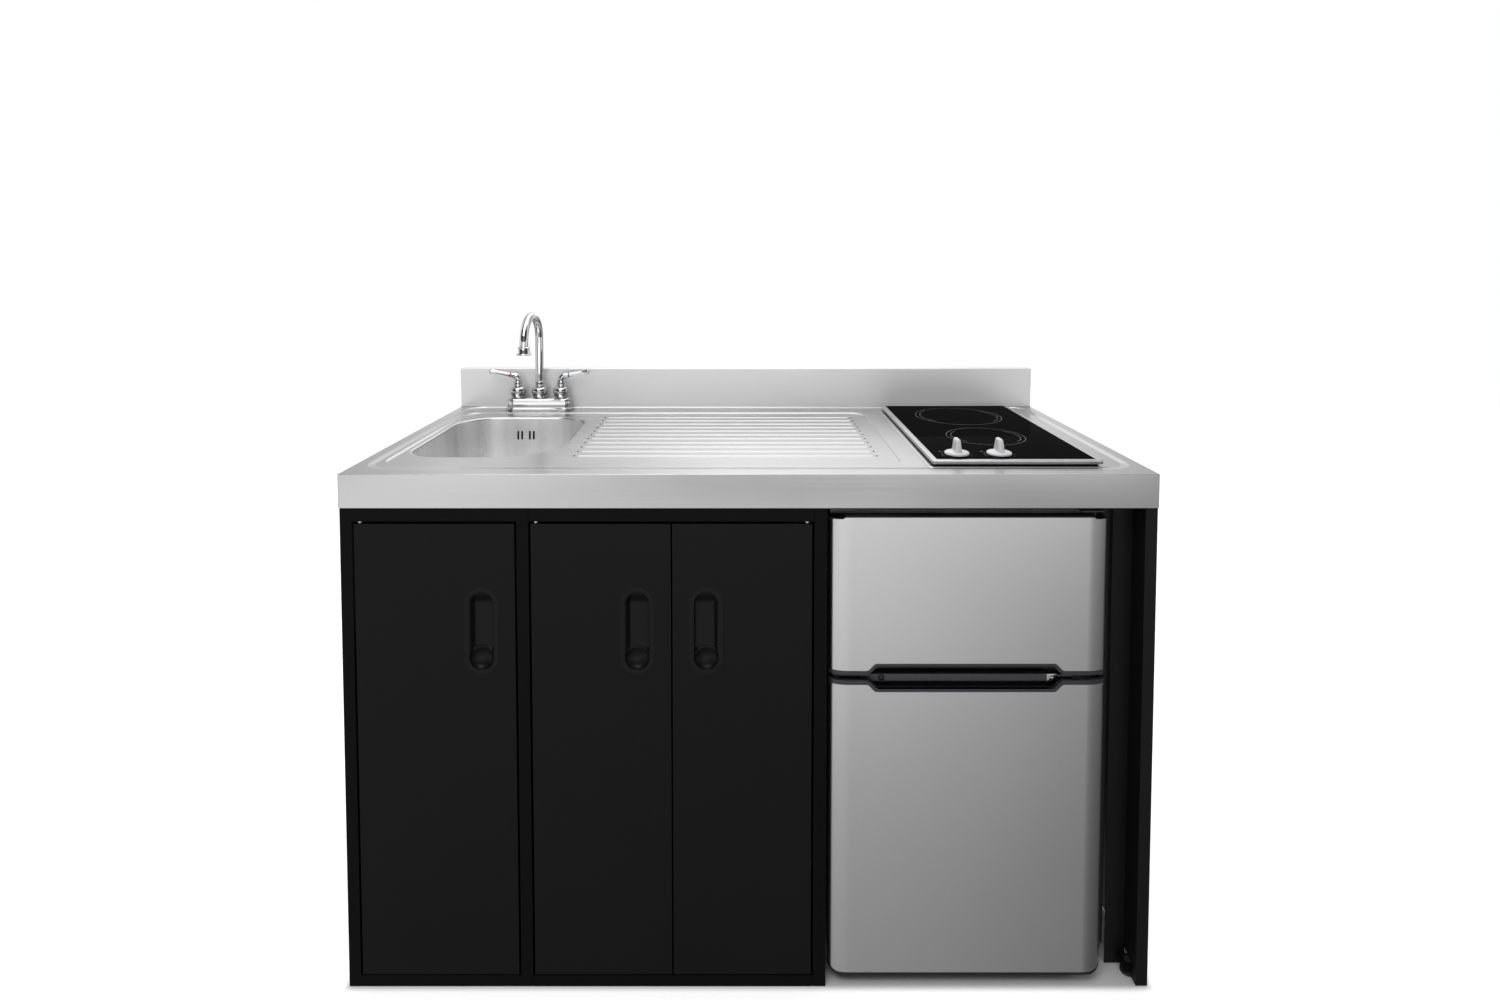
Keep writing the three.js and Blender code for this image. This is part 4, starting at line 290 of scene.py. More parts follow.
# A darker, duller copy of the same powder coat: painted shade on the face frame.
shaded_frame_powder = finish("frame_coat_painted_darker", 0.003, 0.0045, (0.4, 0.5), EVEN_FINE, 30e-6, 5,
                      Specular_IOR_Level=0.08)
plastic = finish("black_plastic", 0.008, 0.013, (0.3, 0.42), EVEN_FINE, 20e-6, 12, Specular_IOR_Level=0.45)
pull_plastic = finish("pull_plastic", 0.005, 0.007, (0.34, 0.44), EVEN_FINE, 20e-6, 12,
                      Specular_IOR_Level=0.17)
trim = finish("dark_trim", (0.028, BLUISH), (0.042, BLUISH), (0.26, 0.36), EVEN_FINE, 10e-6, 12)
# A lighter copy of the dark trim: painted light on the crossbar and the chiller door's inside, which lie in
# the shaded recess between the doors.
lit_trim = finish("lit_trim", (0.05, BLUISH), (0.07, BLUISH), (0.24, 0.34), EVEN_FINE, 10e-6, 12)
# A near-black that paints shade: pieces in gaps, holes and hollows take it so that they read as the shade
# there.
painted_shade_black = finish("painted_gap_shade", 0.002, 0.004, (0.6, 0.8), EVEN_MEDIUM)
rubber = finish("dark_rubber", 0.03, 0.045, (0.55, 0.7), EVEN_FINE, 20e-6, 12)
foot_rubber = finish("black_rubber", 0.012, 0.02, (0.6, 0.75), EVEN_FINE, 30e-6, 12)
white = finish("white_plastic", 0.74, (0.80, (1, 1, 0.985)), (0.24, 0.34), EVEN_FINE, 10e-6, 8)
knob_white = finish("knob_plastic", 0.68, (0.76, (1, 1, 1.02)), (0.12, 0.2), EVEN_FINE, 4e-6, 12,
                    Coat_Weight=0.35)
black_glass = finish("black_glass", 0.002, 0.003, (0.02, 0.05), EVEN_MEDIUM, 0.0, 8, IOR=1.012)
mark = finish("printed_mark", (0.26, (1, 1, 1.12)), (0.34, (1, 1, 1.12)), (0.25, 0.35), EVEN_FINE)
clear = finish("clear_plastic", (0.86, GREENISH), (0.92, GREENISH), (0.02, 0.06), EVEN_MEDIUM, 0.0, 8,
               Transmission_Weight=0.92, IOR=1.46)
wool = finish("ceramic_wool", (0.5, CREAM), (0.66, CREAM), (0.85, 0.95), EVEN_MEDIUM, 200e-6, 20)
red = finish("red_ring", (1, (0.42, 0.02, 0.02)), (1, (0.55, 0.03, 0.03)), (0.2, 0.3), EVEN_FINE)
blue = finish("blue_ring", (1, (0.02, 0.05, 0.42)), (1, (0.03, 0.07, 0.55)), (0.2, 0.3), EVEN_FINE)
floor_white = finish("floor", 0.86, 0.90, (0.5, 0.7), EVEN_MEDIUM)

slot_finish = {
    "black_powder_coat": powder, "insulated_black_body": powder, "insulated_steel_door": plastic,
    "black_plastic": plastic, "brushed_steel": steel, "satin_steel": satin_steel, "chrome": chrome,
    "zinc_steel": zinc, "black_glass": black_glass, "clear_plastic": clear, "white_plastic": white,
    "seal_rubber": rubber, "ceramic_wool": wool,
}

# ------------------------------------------------------------------ shapes


def inset(plan, side, front=None, back=None):
    """A rectangle of left, right, front and back, made smaller at its sides, its front and its back."""
    x0, x1, y0, y1 = plan
    front = side if front is None else front
    back = side if back is None else back
    return x0 + side, x1 - side, y0 + front, y1 - back


def rounded_ring(x0, x1, y0, y1, radii, steps=8):
    """Points round a rectangle with round corners: front right, back right, back left, front left."""
    radii = radii if isinstance(radii, tuple) else (radii,) * 4
    corners = ((x1, y0, -1, 1, -90), (x1, y1, -1, -1, 0), (x0, y1, 1, -1, 90), (x0, y0, 1, 1, 180))
    ring = []
    for (x, y, in_x, in_y, start), radius in zip(corners, radii):
        for step in range(steps + 1):
            turn = math.radians(start + 90 * step / steps)
            ring.append((x + in_x * radius + radius * math.cos(turn),
                         y + in_y * radius + radius * math.sin(turn)))
    return ring


def lifted(ring, z):
    """Points of (x, y), all at one height."""
    return [(x, y, z) for x, y in ring]


def standing(ring, y):
    """Points of (x, z), all at one depth."""
    return [(x, y, z) for x, z in ring]


def smooth_step(t):
    t = min(max(t, 0.0), 1.0)
    return t * t * (3 - 2 * t)


def curve_through(points, steps=6):
    """Points along a smooth curve through the given ones."""
    points = [Vector(p) for p in points]
    ends = [2 * points[0] - points[1], *points, 2 * points[-1] - points[-2]]
    path = []
    for a, b, c, d in zip(ends, ends[1:], ends[2:], ends[3:]):
        for step in range(steps):
            t = step / steps
            path.append(0.5 * (2 * b + (c - a) * t + (2 * a - 5 * b + 4 * c - d) * t ** 2
                               + (3 * b - a - 3 * c + d) * t ** 3))
    return [*path, points[-1]]


def skin(rings, close_first=False, close_last=False):
    """A surface drawn out from the first ring of points to each of the others in turn."""
    bm = bmesh.new()
    row = [bm.verts.new(p) for p in rings[0]]
    edges = [bm.edges.new(pair) for pair in zip(row, row[1:] + row[:1])]
    if close_first:
        bm.faces.new(row)
    for ring in rings[1:]:
        fresh = set(bmesh.ops.extrude_edge_only(bm, edges=edges)["geom"])
        row = [next(e.other_vert(v) for e in v.link_edges if e.other_vert(v) in fresh) for v in row]
        edges = [bm.edges.get(pair) for pair in zip(row, row[1:] + row[:1])]
        for vert, place in zip(row, ring):
            vert.co = place
    if close_last:
        bm.faces.new(row)
    return bm


def flat_prism(outline, z0, z1):
    """An outline of (x, y) points drawn out upwards."""
    return skin([lifted(outline, z) for z in (z0, z1)], True, True)


def upright_prism(outline, y0, y1):
    """An outline of (x, z) points drawn out from front to back."""
    return skin([standing(outline, y) for y in (y0, y1)], True, True)


def side_prism(outline, x0, x1):
    """An outline of (y, z) points drawn out from left to right."""
    return skin([[(x, y, z) for y, z in outline] for x in (x0, x1)], True, True)


def turned(profile, x=0.0, y=0.0, steps=56):
    """A profile of (radius, height) pairs turned about an upright axis."""
    bm = bmesh.new()
    verts = [bm.verts.new((radius, 0, z)) for radius, z in profile]
    edges = [bm.edges.new(pair) for pair in zip(verts, verts[1:])]
    bmesh.ops.spin(bm, geom=verts + edges, cent=(0, 0, 0), axis=(0, 0, 1), angle=2 * math.pi,
                   steps=steps, use_merge=True)
    bmesh.ops.remove_doubles(bm, verts=bm.verts, dist=1e-6)
    bmesh.ops.translate(bm, verts=bm.verts, vec=(x, y, 0))
    return bm


def lathed(profile, foot=0.0, x=0.0, y=0.0, steps=56):
    """A turned shape from a profile in millimetres, with its heights above a foot."""
    return turned([(radius * MM, foot + z * MM) for radius, z in profile], x, y, steps)


def tube(path, radii, sides=32):
    """A round bar along a path, with a radius at each point, or one for all of them."""
    path = [Vector(p) for p in path]
    radii = radii if isinstance(radii, list) else [radii] * len(path)
    along = [(b - a).normalized() for a, b in zip([path[0], *path], [*path[1:], path[-1]])]
    along[0] = (path[1] - path[0]).normalized()
    along[-1] = (path[-1] - path[-2]).normalized()
    side = along[0].orthogonal().normalized()
    rings = []
    for point, ahead, radius in zip(path, along, radii):
        side = (side - ahead * side.dot(ahead)).normalized()
        up = ahead.cross(side)
        rings.append([point + radius * (math.cos(a) * side + math.sin(a) * up)
                      for a in (2 * math.pi * i / sides for i in range(sides))])
    return skin(rings, True, True)


def box_shape(low, high):
    bm = bmesh.new()
    size = Vector(high) - Vector(low)
    middle = (Vector(high) + Vector(low)) / 2
    bmesh.ops.create_cube(bm, size=1, matrix=Matrix.Translation(middle) @ Matrix.Diagonal((*size, 1)))
    return bm


def faced_front(shape, place=(0, 0, 0)):
    """Tips a shape that points up so that it points to the front, and moves it to its place."""
    bmesh.ops.rotate(shape, verts=shape.verts, cent=(0, 0, 0),
                     matrix=Matrix.Rotation(math.radians(90), 3, "X"))
    bmesh.ops.translate(shape, verts=shape.verts, vec=place)
    return shape


def soften(bm, width, segments=2, angle=30):
    """Rounds every edge that is sharper than the angle."""
    bm.normal_update()
    sharp = [e for e in bm.edges if len(e.link_faces) == 2 and e.calc_face_angle() > math.radians(angle)]
    bmesh.ops.bevel(bm, geom=sharp, offset=width, segments=segments, profile=0.5, affect="EDGES",
                    clamp_overlap=True, material=-1)
    return bm


def soft_box(low, high, width):
    return soften(box_shape(low, high), width)


def merged(*shapes):
    """Several shapes in one mesh."""
    whole = bmesh.new()
    for shape in shapes:
        mesh = bpy.data.meshes.new("part")
        shape.to_mesh(mesh)
        shape.free()
        whole.from_mesh(mesh)
        bpy.data.meshes.remove(mesh)
    return whole


def inside(point, loop):
    """Whether a point of the plane lies inside a loop."""
    hit = False
    for (x0, y0), (x1, y1) in zip(loop, [*loop[1:], loop[0]]):
        if (y0 > point.y) != (y1 > point.y) and point.x < x0 + (point.y - y0) * (x1 - x0) / (y1 - y0):
            hit = not hit
    return hit


def sheet(loops, height, holes=()):
    """A sheet over the plane, with an edge along every loop and a height from a function of the place.

    The first loop is its outline.
    """
    points, edges = [], []
    for loop in loops:
        first = len(points)
        points.extend(Vector(p) for p in loop)
        edges.extend((first + i, first + (i + 1) % len(loop)) for i in range(len(loop)))
    verts, _, faces, *_ = delaunay_2d_cdt(points, edges, [], 1, 1e-7)
    bm = bmesh.new()
    made = [bm.verts.new((v.x, v.y, height(v.x, v.y))) for v in verts]
    for face in faces:
        middle = sum((verts[i] for i in face), Vector((0, 0))) / len(face)
        if not any(inside(middle, hole) for hole in holes):
            bm.faces.new([made[i] for i in face])
    bmesh.ops.delete(bm, geom=[v for v in bm.verts if not v.link_faces], context="VERTS")
    return bm


def loose_object(shape):
    """A closed shape as an object of its own, for a boolean."""
    bmesh.ops.recalc_face_normals(shape, faces=shape.faces)
    mesh = bpy.data.meshes.new("operand")
    shape.to_mesh(mesh)
    shape.free()
    return link(bpy.data.objects.new("operand", mesh))


def cut_mesh(obj, shape, operation="DIFFERENCE"):
    """An object's mesh after its modifiers and a boolean with a closed shape."""
    tool = loose_object(shape)
    cut = obj.modifiers.new("cut", "BOOLEAN")
    cut.operation, cut.object, cut.solver = operation, tool, "EXACT"
    bpy.context.view_layer.update()
    mesh = bpy.data.meshes.new_from_object(obj.evaluated_get(bpy.context.evaluated_depsgraph_get()))
    bpy.data.objects.remove(tool)
    return mesh


def combined(base, shape, operation="DIFFERENCE"):
    """Two closed shapes made one by a boolean."""
    obj = loose_object(base)
    result = bmesh.new()
    result.from_mesh(cut_mesh(obj, shape, operation))
    bpy.data.objects.remove(obj)
    bmesh.ops.remove_doubles(result, verts=result.verts, dist=1e-6)
    return result


def shade_by_angle(obj, angle):
    """Shades an object smooth, except at edges sharper than the angle in degrees."""
    obj.data.shade_smooth()
    obj.data.set_sharp_from_angle(angle=math.radians(angle))
    obj.modifiers.new("weighted_normals", "WEIGHTED_NORMAL").keep_sharp = True


def piece(name, shape, *materials, node=None, body="unit", slot=None, angle=32):
    """Turns a finished shape into an object. One that replaces a node takes that node's body, and the node is
    hidden.
    """
    bmesh.ops.recalc_face_normals(shape, faces=shape.faces)
    mesh = bpy.data.meshes.new(name)
    shape.to_mesh(mesh)
    shape.free()
    for material in materials:
        mesh.materials.append(material)
    obj = link(bpy.data.objects.new(name, mesh))
    shade_by_angle(obj, angle)
    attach(obj, body_of[node] if node else body)
    if node:
        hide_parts(node)
    return obj


# ------------------------------------------------------------------ worktop

EDGE_ROLL = 0.8 * MM
EDGE_RADIUS = 0.5 * MM
GROOVE_WIDTH = 3 * MM  # a fine line pressed round the well
GROOVE_DEPTH = 0.35 * MM
SIDE_RIM = 19 * MM
FRONT_RIM = 28 * MM
BACK_RIM = 1 * MM
SIDE_SLOPE = 11 * MM
FRONT_SLOPE = 25 * MM
BACK_SLOPE = 2 * MM
WELL_DEPTH = 2.2 * MM
WELL_RADIUS = 45 * MM
TRAY_LEFT = 6 * MM
TRAY_FRONT = 75 * MM
TRAY_LEDGE = 61 * MM
TRAY_HOB_GAP = 45 * MM
TRAY_DEPTH = 2.5 * MM
TRAY_SLOPE = 5 * MM
TRAY_FRONT_SLOPE = 9 * MM
TRAY_RADIUS = 35 * MM
INNER_RADIUS_SHARE = 0.7
RIB_COUNT = 11
RIB_WIDTH = 7.5 * MM
RIB_RISE = 1.4 * MM
RIB_END_SLOPE = 3.2 * MM
RIB_CREST = 1.2 * MM  # half its width
STUD_RADIUS = 2.1 * MM
STUD_RISE = 1.0 * MM
STUD_GAP = 4.6 * MM  # from a rib's end to the middle of its stud
RIB_BOWL_GAP = 44 * MM
RIB_TRAY_GAP = 42 * MM
RIB_FRONT_MARGIN = 66 * MM
RIB_BACK_MARGIN = 50 * MM
BOWL_FLANGE = 11 * MM
BOWL_LIP = 4 * MM
LIP_WIDTH = 6.5 * MM
BOWL_RADII = (112 * MM, 70 * MM, 86 * MM, 62 * MM)
SEAT_MARGIN = 7 * MM
SEAT_SLOPE = 3 * MM
SEAT_RISE = 1.2 * MM
TOP_SHEET = 1.5 * MM
RETURNS = (20 * MM, 32 * MM, 41 * MM)  # the folds under the sides, the front and the back
HOB_HOLE_INSET = 17.5 * MM

top_plan, hob_plan = plan_of("worktop"), plan_of("hob_frame")
bowl_opening = inset(plan_of("sink_bowl"), BOWL_FLANGE)
well_outer = (top_low.x + SIDE_RIM, top_high.x - SIDE_RIM, top_low.y + FRONT_RIM, splash_low.y - BACK_RIM,
              WELL_RADIUS)
well_inner = (*inset(well_outer[:4], SIDE_SLOPE, FRONT_SLOPE, BACK_SLOPE), WELL_RADIUS * INNER_RADIUS_SHARE)
tray_outer = (well_inner[0] + TRAY_LEFT, hob_low.x - TRAY_HOB_GAP, top_low.y + TRAY_FRONT,
              splash_low.y - TRAY_LEDGE, TRAY_RADIUS)
tray_inner = (*inset(tray_outer[:4], TRAY_SLOPE, TRAY_FRONT_SLOPE), TRAY_RADIUS * INNER_RADIUS_SHARE)
seat_outer = (*inset(hob_plan, -SEAT_MARGIN), 8 * MM)
seat_inner = (*inset(seat_outer[:4], SEAT_SLOPE), 6 * MM)
well_level = top_high.z - WELL_DEPTH
tray_level = well_level - TRAY_DEPTH
rib_left = bowl_opening[1] + RIB_BOWL_GAP
rib_right = tray_outer[1] - RIB_TRAY_GAP
rib_first = tray_outer[2] + RIB_FRONT_MARGIN
rib_pitch = (tray_outer[3] - RIB_BACK_MARGIN - rib_first) / (RIB_COUNT - 1)
ribs = [
    ((rib_left, rib_right, y - RIB_WIDTH / 2, y + RIB_WIDTH / 2, RIB_WIDTH / 2 - 0.01 * MM),
     (rib_left + RIB_END_SLOPE, rib_right - RIB_END_SLOPE, y - RIB_CREST, y + RIB_CREST,
      RIB_CREST - 0.05 * MM))
    for y in (rib_first + i * rib_pitch for i in range(RIB_COUNT))
]


def between(outer, inner, t):
    return tuple(a + (b - a) * t for a, b in zip(outer, inner))


def on_plate(x, y, plate):
    """How far a point lies outside a rounded rectangle: below 0 is inside."""
    x0, x1, y0, y1, radius = plate
    dx = abs(x - (x0 + x1) / 2) - (x1 - x0) / 2 + radius
    dy = abs(y - (y0 + y1) / 2) - (y1 - y0) / 2 + radius
    return math.hypot(max(dx, 0), max(dy, 0)) + min(max(dx, dy), 0) - radius


def slope_share(x, y, outer, inner):
    """How far down a slope between two rounded rectangles a point lies, from 0 to 1."""
    if on_plate(x, y, outer) >= 0:
        return 0.0
    if on_plate(x, y, inner) <= 0:
        return 1.0
    low, high = 0.0, 1.0
    for _ in range(14):
        t = (low + high) / 2
        low, high = (t, high) if on_plate(x, y, between(outer, inner, t)) < 0 else (low, t)
    return low


def straight_step(t):
    """A straight slope with only its ends eased."""
    return min(max((t - 0.08) / 0.84, 0.0), 1.0)


def worktop_height(x, y):
    z = top_high.z - WELL_DEPTH * straight_step(slope_share(x, y, well_outer, well_inner))
    away = abs(on_plate(x, y, well_outer)) if y < well_outer[3] - WELL_RADIUS else GROOVE_WIDTH
    z -= GROOVE_DEPTH * max(1 - away / (GROOVE_WIDTH / 2), 0)
    z -= TRAY_DEPTH * smooth_step(slope_share(x, y, tray_outer, tray_inner))
    if rib_left <= x <= rib_right:
        index = round((y - rib_first) / rib_pitch)
        if 0 <= index < RIB_COUNT:
            z += RIB_RISE * math.sin(slope_share(x, y, *ribs[index]) * math.pi / 2) ** 1.3
    seat = slope_share(x, y, seat_outer, seat_inner)
    if seat > 0:
        z = max(z, well_level + SEAT_RISE * smooth_step(seat))
    return z


def slope_loops(outer, inner, shares, steps=8):
    return [rounded_ring(*between(outer, inner, t), steps=steps) for t in shares]


def bowl_ring(grow, steps=14):
    return rounded_ring(*inset(bowl_opening, -grow), tuple(radius + grow for radius in BOWL_RADII), steps)


def top_plate():
    """The pressed face, open at the bowl and the hob."""
    loops = [rounded_ring(*inset(top_plan, EDGE_ROLL), EDGE_RADIUS, 3)]
    for by in (-GROOVE_WIDTH / 2, GROOVE_WIDTH / 2):
        loops.append(rounded_ring(*inset(well_outer[:4], -by, -by, 0), WELL_RADIUS + by, 12))
    loops += slope_loops(well_outer, well_inner, (0, 0.08, 0.16, 0.5, 0.84, 0.92, 1), 12)
    loops += slope_loops(tray_outer, tray_inner, (0, 0.16, 0.33, 0.5, 0.67, 0.84, 1), 12)
    loops += slope_loops(seat_outer, seat_inner, (0, 0.25, 0.5, 0.75, 1), 4)
    for outer, inner in ribs:
        loops += slope_loops(outer, inner, (0, 0.18, 0.36, 0.55, 0.75, 1), 4)
    lip_ring = bowl_ring(LIP_WIDTH)
    hob_hole = rounded_ring(*inset(hob_plan, HOB_HOLE_INSET), 0.5 * MM, 2)
    loops += [lip_ring, bowl_ring(LIP_WIDTH + 2 * MM), hob_hole]
    return sheet(loops, worktop_height, holes=(lip_ring, hob_hole))


def top_apron():
    """The rolled edge, the apron and the folds under it."""
    def edge_ring(z, radius, *by):
        return lifted(rounded_ring(*inset(top_plan, *by), radius, 3), z)

    rings = []
    for turn in (math.radians(a) for a in (0, 18, 36, 54, 72, 90)):
        by = EDGE_ROLL * (1 - math.sin(turn))
        z = top_high.z - EDGE_ROLL * (1 - math.cos(turn))
        rings.append(edge_ring(z, EDGE_RADIUS + EDGE_ROLL - by, by))
    foot = top_low.z
    rings += [
        edge_ring(foot + 1.2 * MM, 1.9 * MM, 0),
        edge_ring(foot + 0.35 * MM, 1.6 * MM, 0.35 * MM),
        edge_ring(foot, 1 * MM, 1.2 * MM),
        edge_ring(foot, 1 * MM, *RETURNS),
        edge_ring(foot + TOP_SHEET, 1 * MM, *RETURNS),
        edge_ring(foot + TOP_SHEET, 1 * MM, TOP_SHEET),
        edge_ring(tray_level - TOP_SHEET, 1 * MM, TOP_SHEET),
    ]
    return skin(rings)


def make_worktop():
    lip = skin([lifted(bowl_ring(LIP_WIDTH * (1 - math.sin(a))), tray_level - BOWL_LIP * (1 - math.cos(a)))
                for a in (math.radians(d) for d in (0, 6, 12, 18, 26, 36, 50, 68, 90))])
    whole = merged(top_plate(), lip, top_apron())
    bmesh.ops.remove_doubles(whole, verts=whole.verts, dist=2e-6)
    whole.normal_update()
    for face in whole.faces:
        if abs(face.normal.y) > 0.9 and face.calc_center_median().y < top_low.y + 0.1 * MM:
            face.material_index = 1
    piece("worktop_pressing", whole, top_steel, apron_steel, node="worktop", angle=40)
    # Small domes at the ribs' ends in the painted-shade black: painted shade that makes dark dots at the
    # ends.
    dome = [(0, tray_level + STUD_RISE), (STUD_RADIUS * 0.6, tray_level + STUD_RISE * 0.85),
            (STUD_RADIUS * 0.9, tray_level + STUD_RISE * 0.4), (STUD_RADIUS, tray_level - 0.05 * MM)]
    studs = [turned(dome, x, (outer[2] + outer[3]) / 2, 20) for outer, _ in ribs
             for x in (outer[0] - STUD_GAP, outer[1] + STUD_GAP)]
    piece("rib_end_shade_dots", merged(*studs), painted_shade_black, slot="brushed_steel")


# ------------------------------------------------------------------ backsplash

SPLASH_RADIUS = 4 * MM
SPLASH_BEVEL = 1.6 * MM
SPLASH_LIP = 14 * MM
SPLASH_FOOT_RADIUS = 0.3 * MM


def make_backsplash():
    def arch(by, y):
        radius = max(SPLASH_RADIUS - by, 0.5 * MM)
        radii = (SPLASH_FOOT_RADIUS, radius, radius, SPLASH_FOOT_RADIUS)
        return standing(rounded_ring(splash_low.x + by, splash_high.x - by, splash_low.z, splash_high.z - by,
                                     radii, 8), y)

    front, rear = splash_low.y, splash_high.y
    round_over = [(SPLASH_BEVEL * (1 - math.sin(a)), SPLASH_BEVEL * (1 - math.cos(a)))
                  for a in (math.radians(d) for d in (0, 22.5, 45, 67.5, 90))]
    rings = [arch(by, front + depth) for by, depth in round_over]
    rings += [arch(by, rear - depth) for by, depth in reversed(round_over)]
    rings += [arch(SPLASH_LIP, rear), arch(SPLASH_LIP, rear - TOP_SHEET), arch(TOP_SHEET, rear - TOP_SHEET),
              arch(TOP_SHEET, front + TOP_SHEET)]
    piece("backsplash_fold", skin(rings, True, True), lit_splash_steel, node="backsplash")


# ------------------------------------------------------------------ sink

BOWL_TAPER = 9 * MM
BOWL_FOOT = 26 * MM
BOWL_SHEET = 1.1 * MM
BOWL_FLOOR = drain_high.z - 2.3 * MM
SLOT_WIDTH = 4.5 * MM
SLOT_HEIGHT = 20 * MM
SLOT_DROP = 31 * MM
SLOT_PLACES = (-17.75 * MM, -8.75 * MM, 8.75 * MM, 17.75 * MM)
SLOT_SHIFT = -5 * MM
DRAIN_HOLE = 42 * MM
HOUSING_WIDTH = 52 * MM
BOWL_ANGLE = 50

drain_x, drain_y = middle_of("drain_body")
slots_x = (bowl_opening[0] + bowl_opening[1]) / 2 + SLOT_SHIFT
slot_top = tray_level - SLOT_DROP


def make_bowl():
    wall_top = tray_level - BOWL_LIP
    rings = [lifted(bowl_ring(-BOWL_TAPER * share), wall_top + (BOWL_FLOOR + BOWL_FOOT - wall_top) * share)
             for share in (0, 0.25, 0.5, 0.75, 1)]
    for a in (math.radians(degrees) for degrees in (12, 24, 36, 48, 60, 72, 82, 90)):
        rings.append(lifted(bowl_ring(-BOWL_TAPER - BOWL_FOOT * (1 - math.cos(a))),
                            BOWL_FLOOR + BOWL_FOOT * (1 - math.sin(a))))
    rim = [Vector(p) for p in rings[-1]]
    centre = Vector((drain_x, drain_y, BOWL_FLOOR))
    hole = [centre + (p - centre).normalized() * DRAIN_HOLE for p in rim]
    rings += [[a.lerp(b, t) for a, b in zip(rim, hole)] for t in (0.3, 0.65, 1)]
    bowl = piece("bowl_pressing", skin(rings), lit_bowl_steel, node="sink_bowl", angle=BOWL_ANGLE)
    wall = bowl.modifiers.new("wall", "SOLIDIFY")
    wall.thickness = BOWL_SHEET
    wall.offset = 1
    back = bowl_opening[3]
    for x in (slots_x + place for place in SLOT_PLACES):
        ring = rounded_ring(x - SLOT_WIDTH / 2, x + SLOT_WIDTH / 2, slot_top - SLOT_HEIGHT, slot_top,
                            SLOT_WIDTH / 2 - 0.01 * MM, 5)
        mesh = cut_mesh(bowl, upright_prism(ring, back - 15 * MM, back + 4 * MM))
        bowl.modifiers.clear()
        bowl.data = mesh
    shade_by_angle(bowl, BOWL_ANGLE)


def make_overflow():
    """The overflow's housing behind the slots, and the screw between them."""
    back = bowl_opening[3]
    # The housing is real, but it takes the painted-shade black, which paints the shade seen through the
    # slots.
    housing = soft_box((slots_x - HOUSING_WIDTH / 2, back + 0.5 * MM, slot_top - 30 * MM),
                       (slots_x + HOUSING_WIDTH / 2, back + 14 * MM, slot_top + 8 * MM), 2 * MM)
    piece("overflow_housing", housing, painted_shade_black, slot="black_plastic")
    wall_in = BOWL_TAPER * (SLOT_DROP + SLOT_HEIGHT / 2) / (tray_level - BOWL_FLOOR - BOWL_FOOT)
    screw = faced_front(lathed([(0, 0), (3.2, 0), (3, 1), (1.8, 1.9), (0, 2.2)], steps=20),
                        (slots_x, back - wall_in, slot_top - SLOT_HEIGHT / 2))
    piece("overflow_screw", screw, chrome, slot="chrome")


# ------------------------------------------------------------------ tap

tap_low, tap_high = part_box("tap_body")
aerator_low, aerator_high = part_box("spout_aerator")
spout_low, spout_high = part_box("tap_spout")

HUB_SPACING = 51 * MM
BASE_WIDTH = 43 * MM
SPOUT_RADIUS = 9.25 * MM
SPOUT_NECK = 5 * MM
LEVER_RADII = (7.2, 7.2, 7.4, 7.0, 6.2, 5.2, 4.7, 4.5, 5.0, 6.2)
LEVER_STEPS = 5
RING_PLACE = 4.75  # the colour ring's place along the lever, counted in the points of its route

tap_x, tap_y = middle_of("tap_body")
tap_z = well_level


def make_tap_body():
    profile = [(0.6, 0.3), (0, 1.4), (0, 3.6), (0.5, 4.9), (1.8, 5.5), (3.4, 6.0), (4.2, 7.4), (4.5, 12),
               (4.9, 17), (5.4, 21), (5.4, 22.2), (4.9, 23), (5.0, 24.6), (6.2, 26.4), (9, 28.4), (14, 29)]
    plan = (tap_x - (tap_high.x - tap_low.x) / 2, tap_x + (tap_high.x - tap_low.x) / 2,
            tap_y - BASE_WIDTH / 2, tap_y + BASE_WIDTH / 2)
    rings = []
    for by, z in curve_through(profile, 4):
        radius = BASE_WIDTH / 2 - by * MM - 0.05 * MM
        rings.append(lifted(rounded_ring(*inset(plan, by * MM), radius, 14), tap_z + z * MM))
    base = skin(rings, False, True)
    hub = curve_through([(13.4, 28.4), (14.0, 29.4), (15.4, 31), (16.9, 34), (18.2, 38.5), (18.9, 43),
                         (18.8, 46.5), (17.6, 50), (15.2, 52.8), (12.0, 54.6)], 5)
    collar = [(9.7, 55.2), (9.3, 56.0), (10.4, 56.8), (10.7, 57.6), (10.4, 58.4), (9.2, 59.1), (9.2, 59.9),
              (10.2, 60.6), (10.4, 61.5), (10.0, 62.4), (8.4, 63.4), (0, 64)]
    hubs = [lathed([*hub, *collar], tap_z, tap_x + shift, tap_y) for shift in (-HUB_SPACING, 0, HUB_SPACING)]
    outer = (tap_x - HUB_SPACING, tap_x + HUB_SPACING)
    shanks = [turned([(0, tap_low.z), (10 * MM, tap_low.z), (10 * MM, tap_z)], x, tap_y, 32) for x in outer]
    nuts = [soften(lathed([(0, -8), (17, -8), (17, 0), (0, 0)], tap_z - 2 * TOP_SHEET, x, tap_y, 6), 0.8 * MM,
                   angle=20) for x in outer]
    piece("tap_casting", merged(base, *hubs, *shanks, *nuts), chrome, node="tap_body", angle=60)


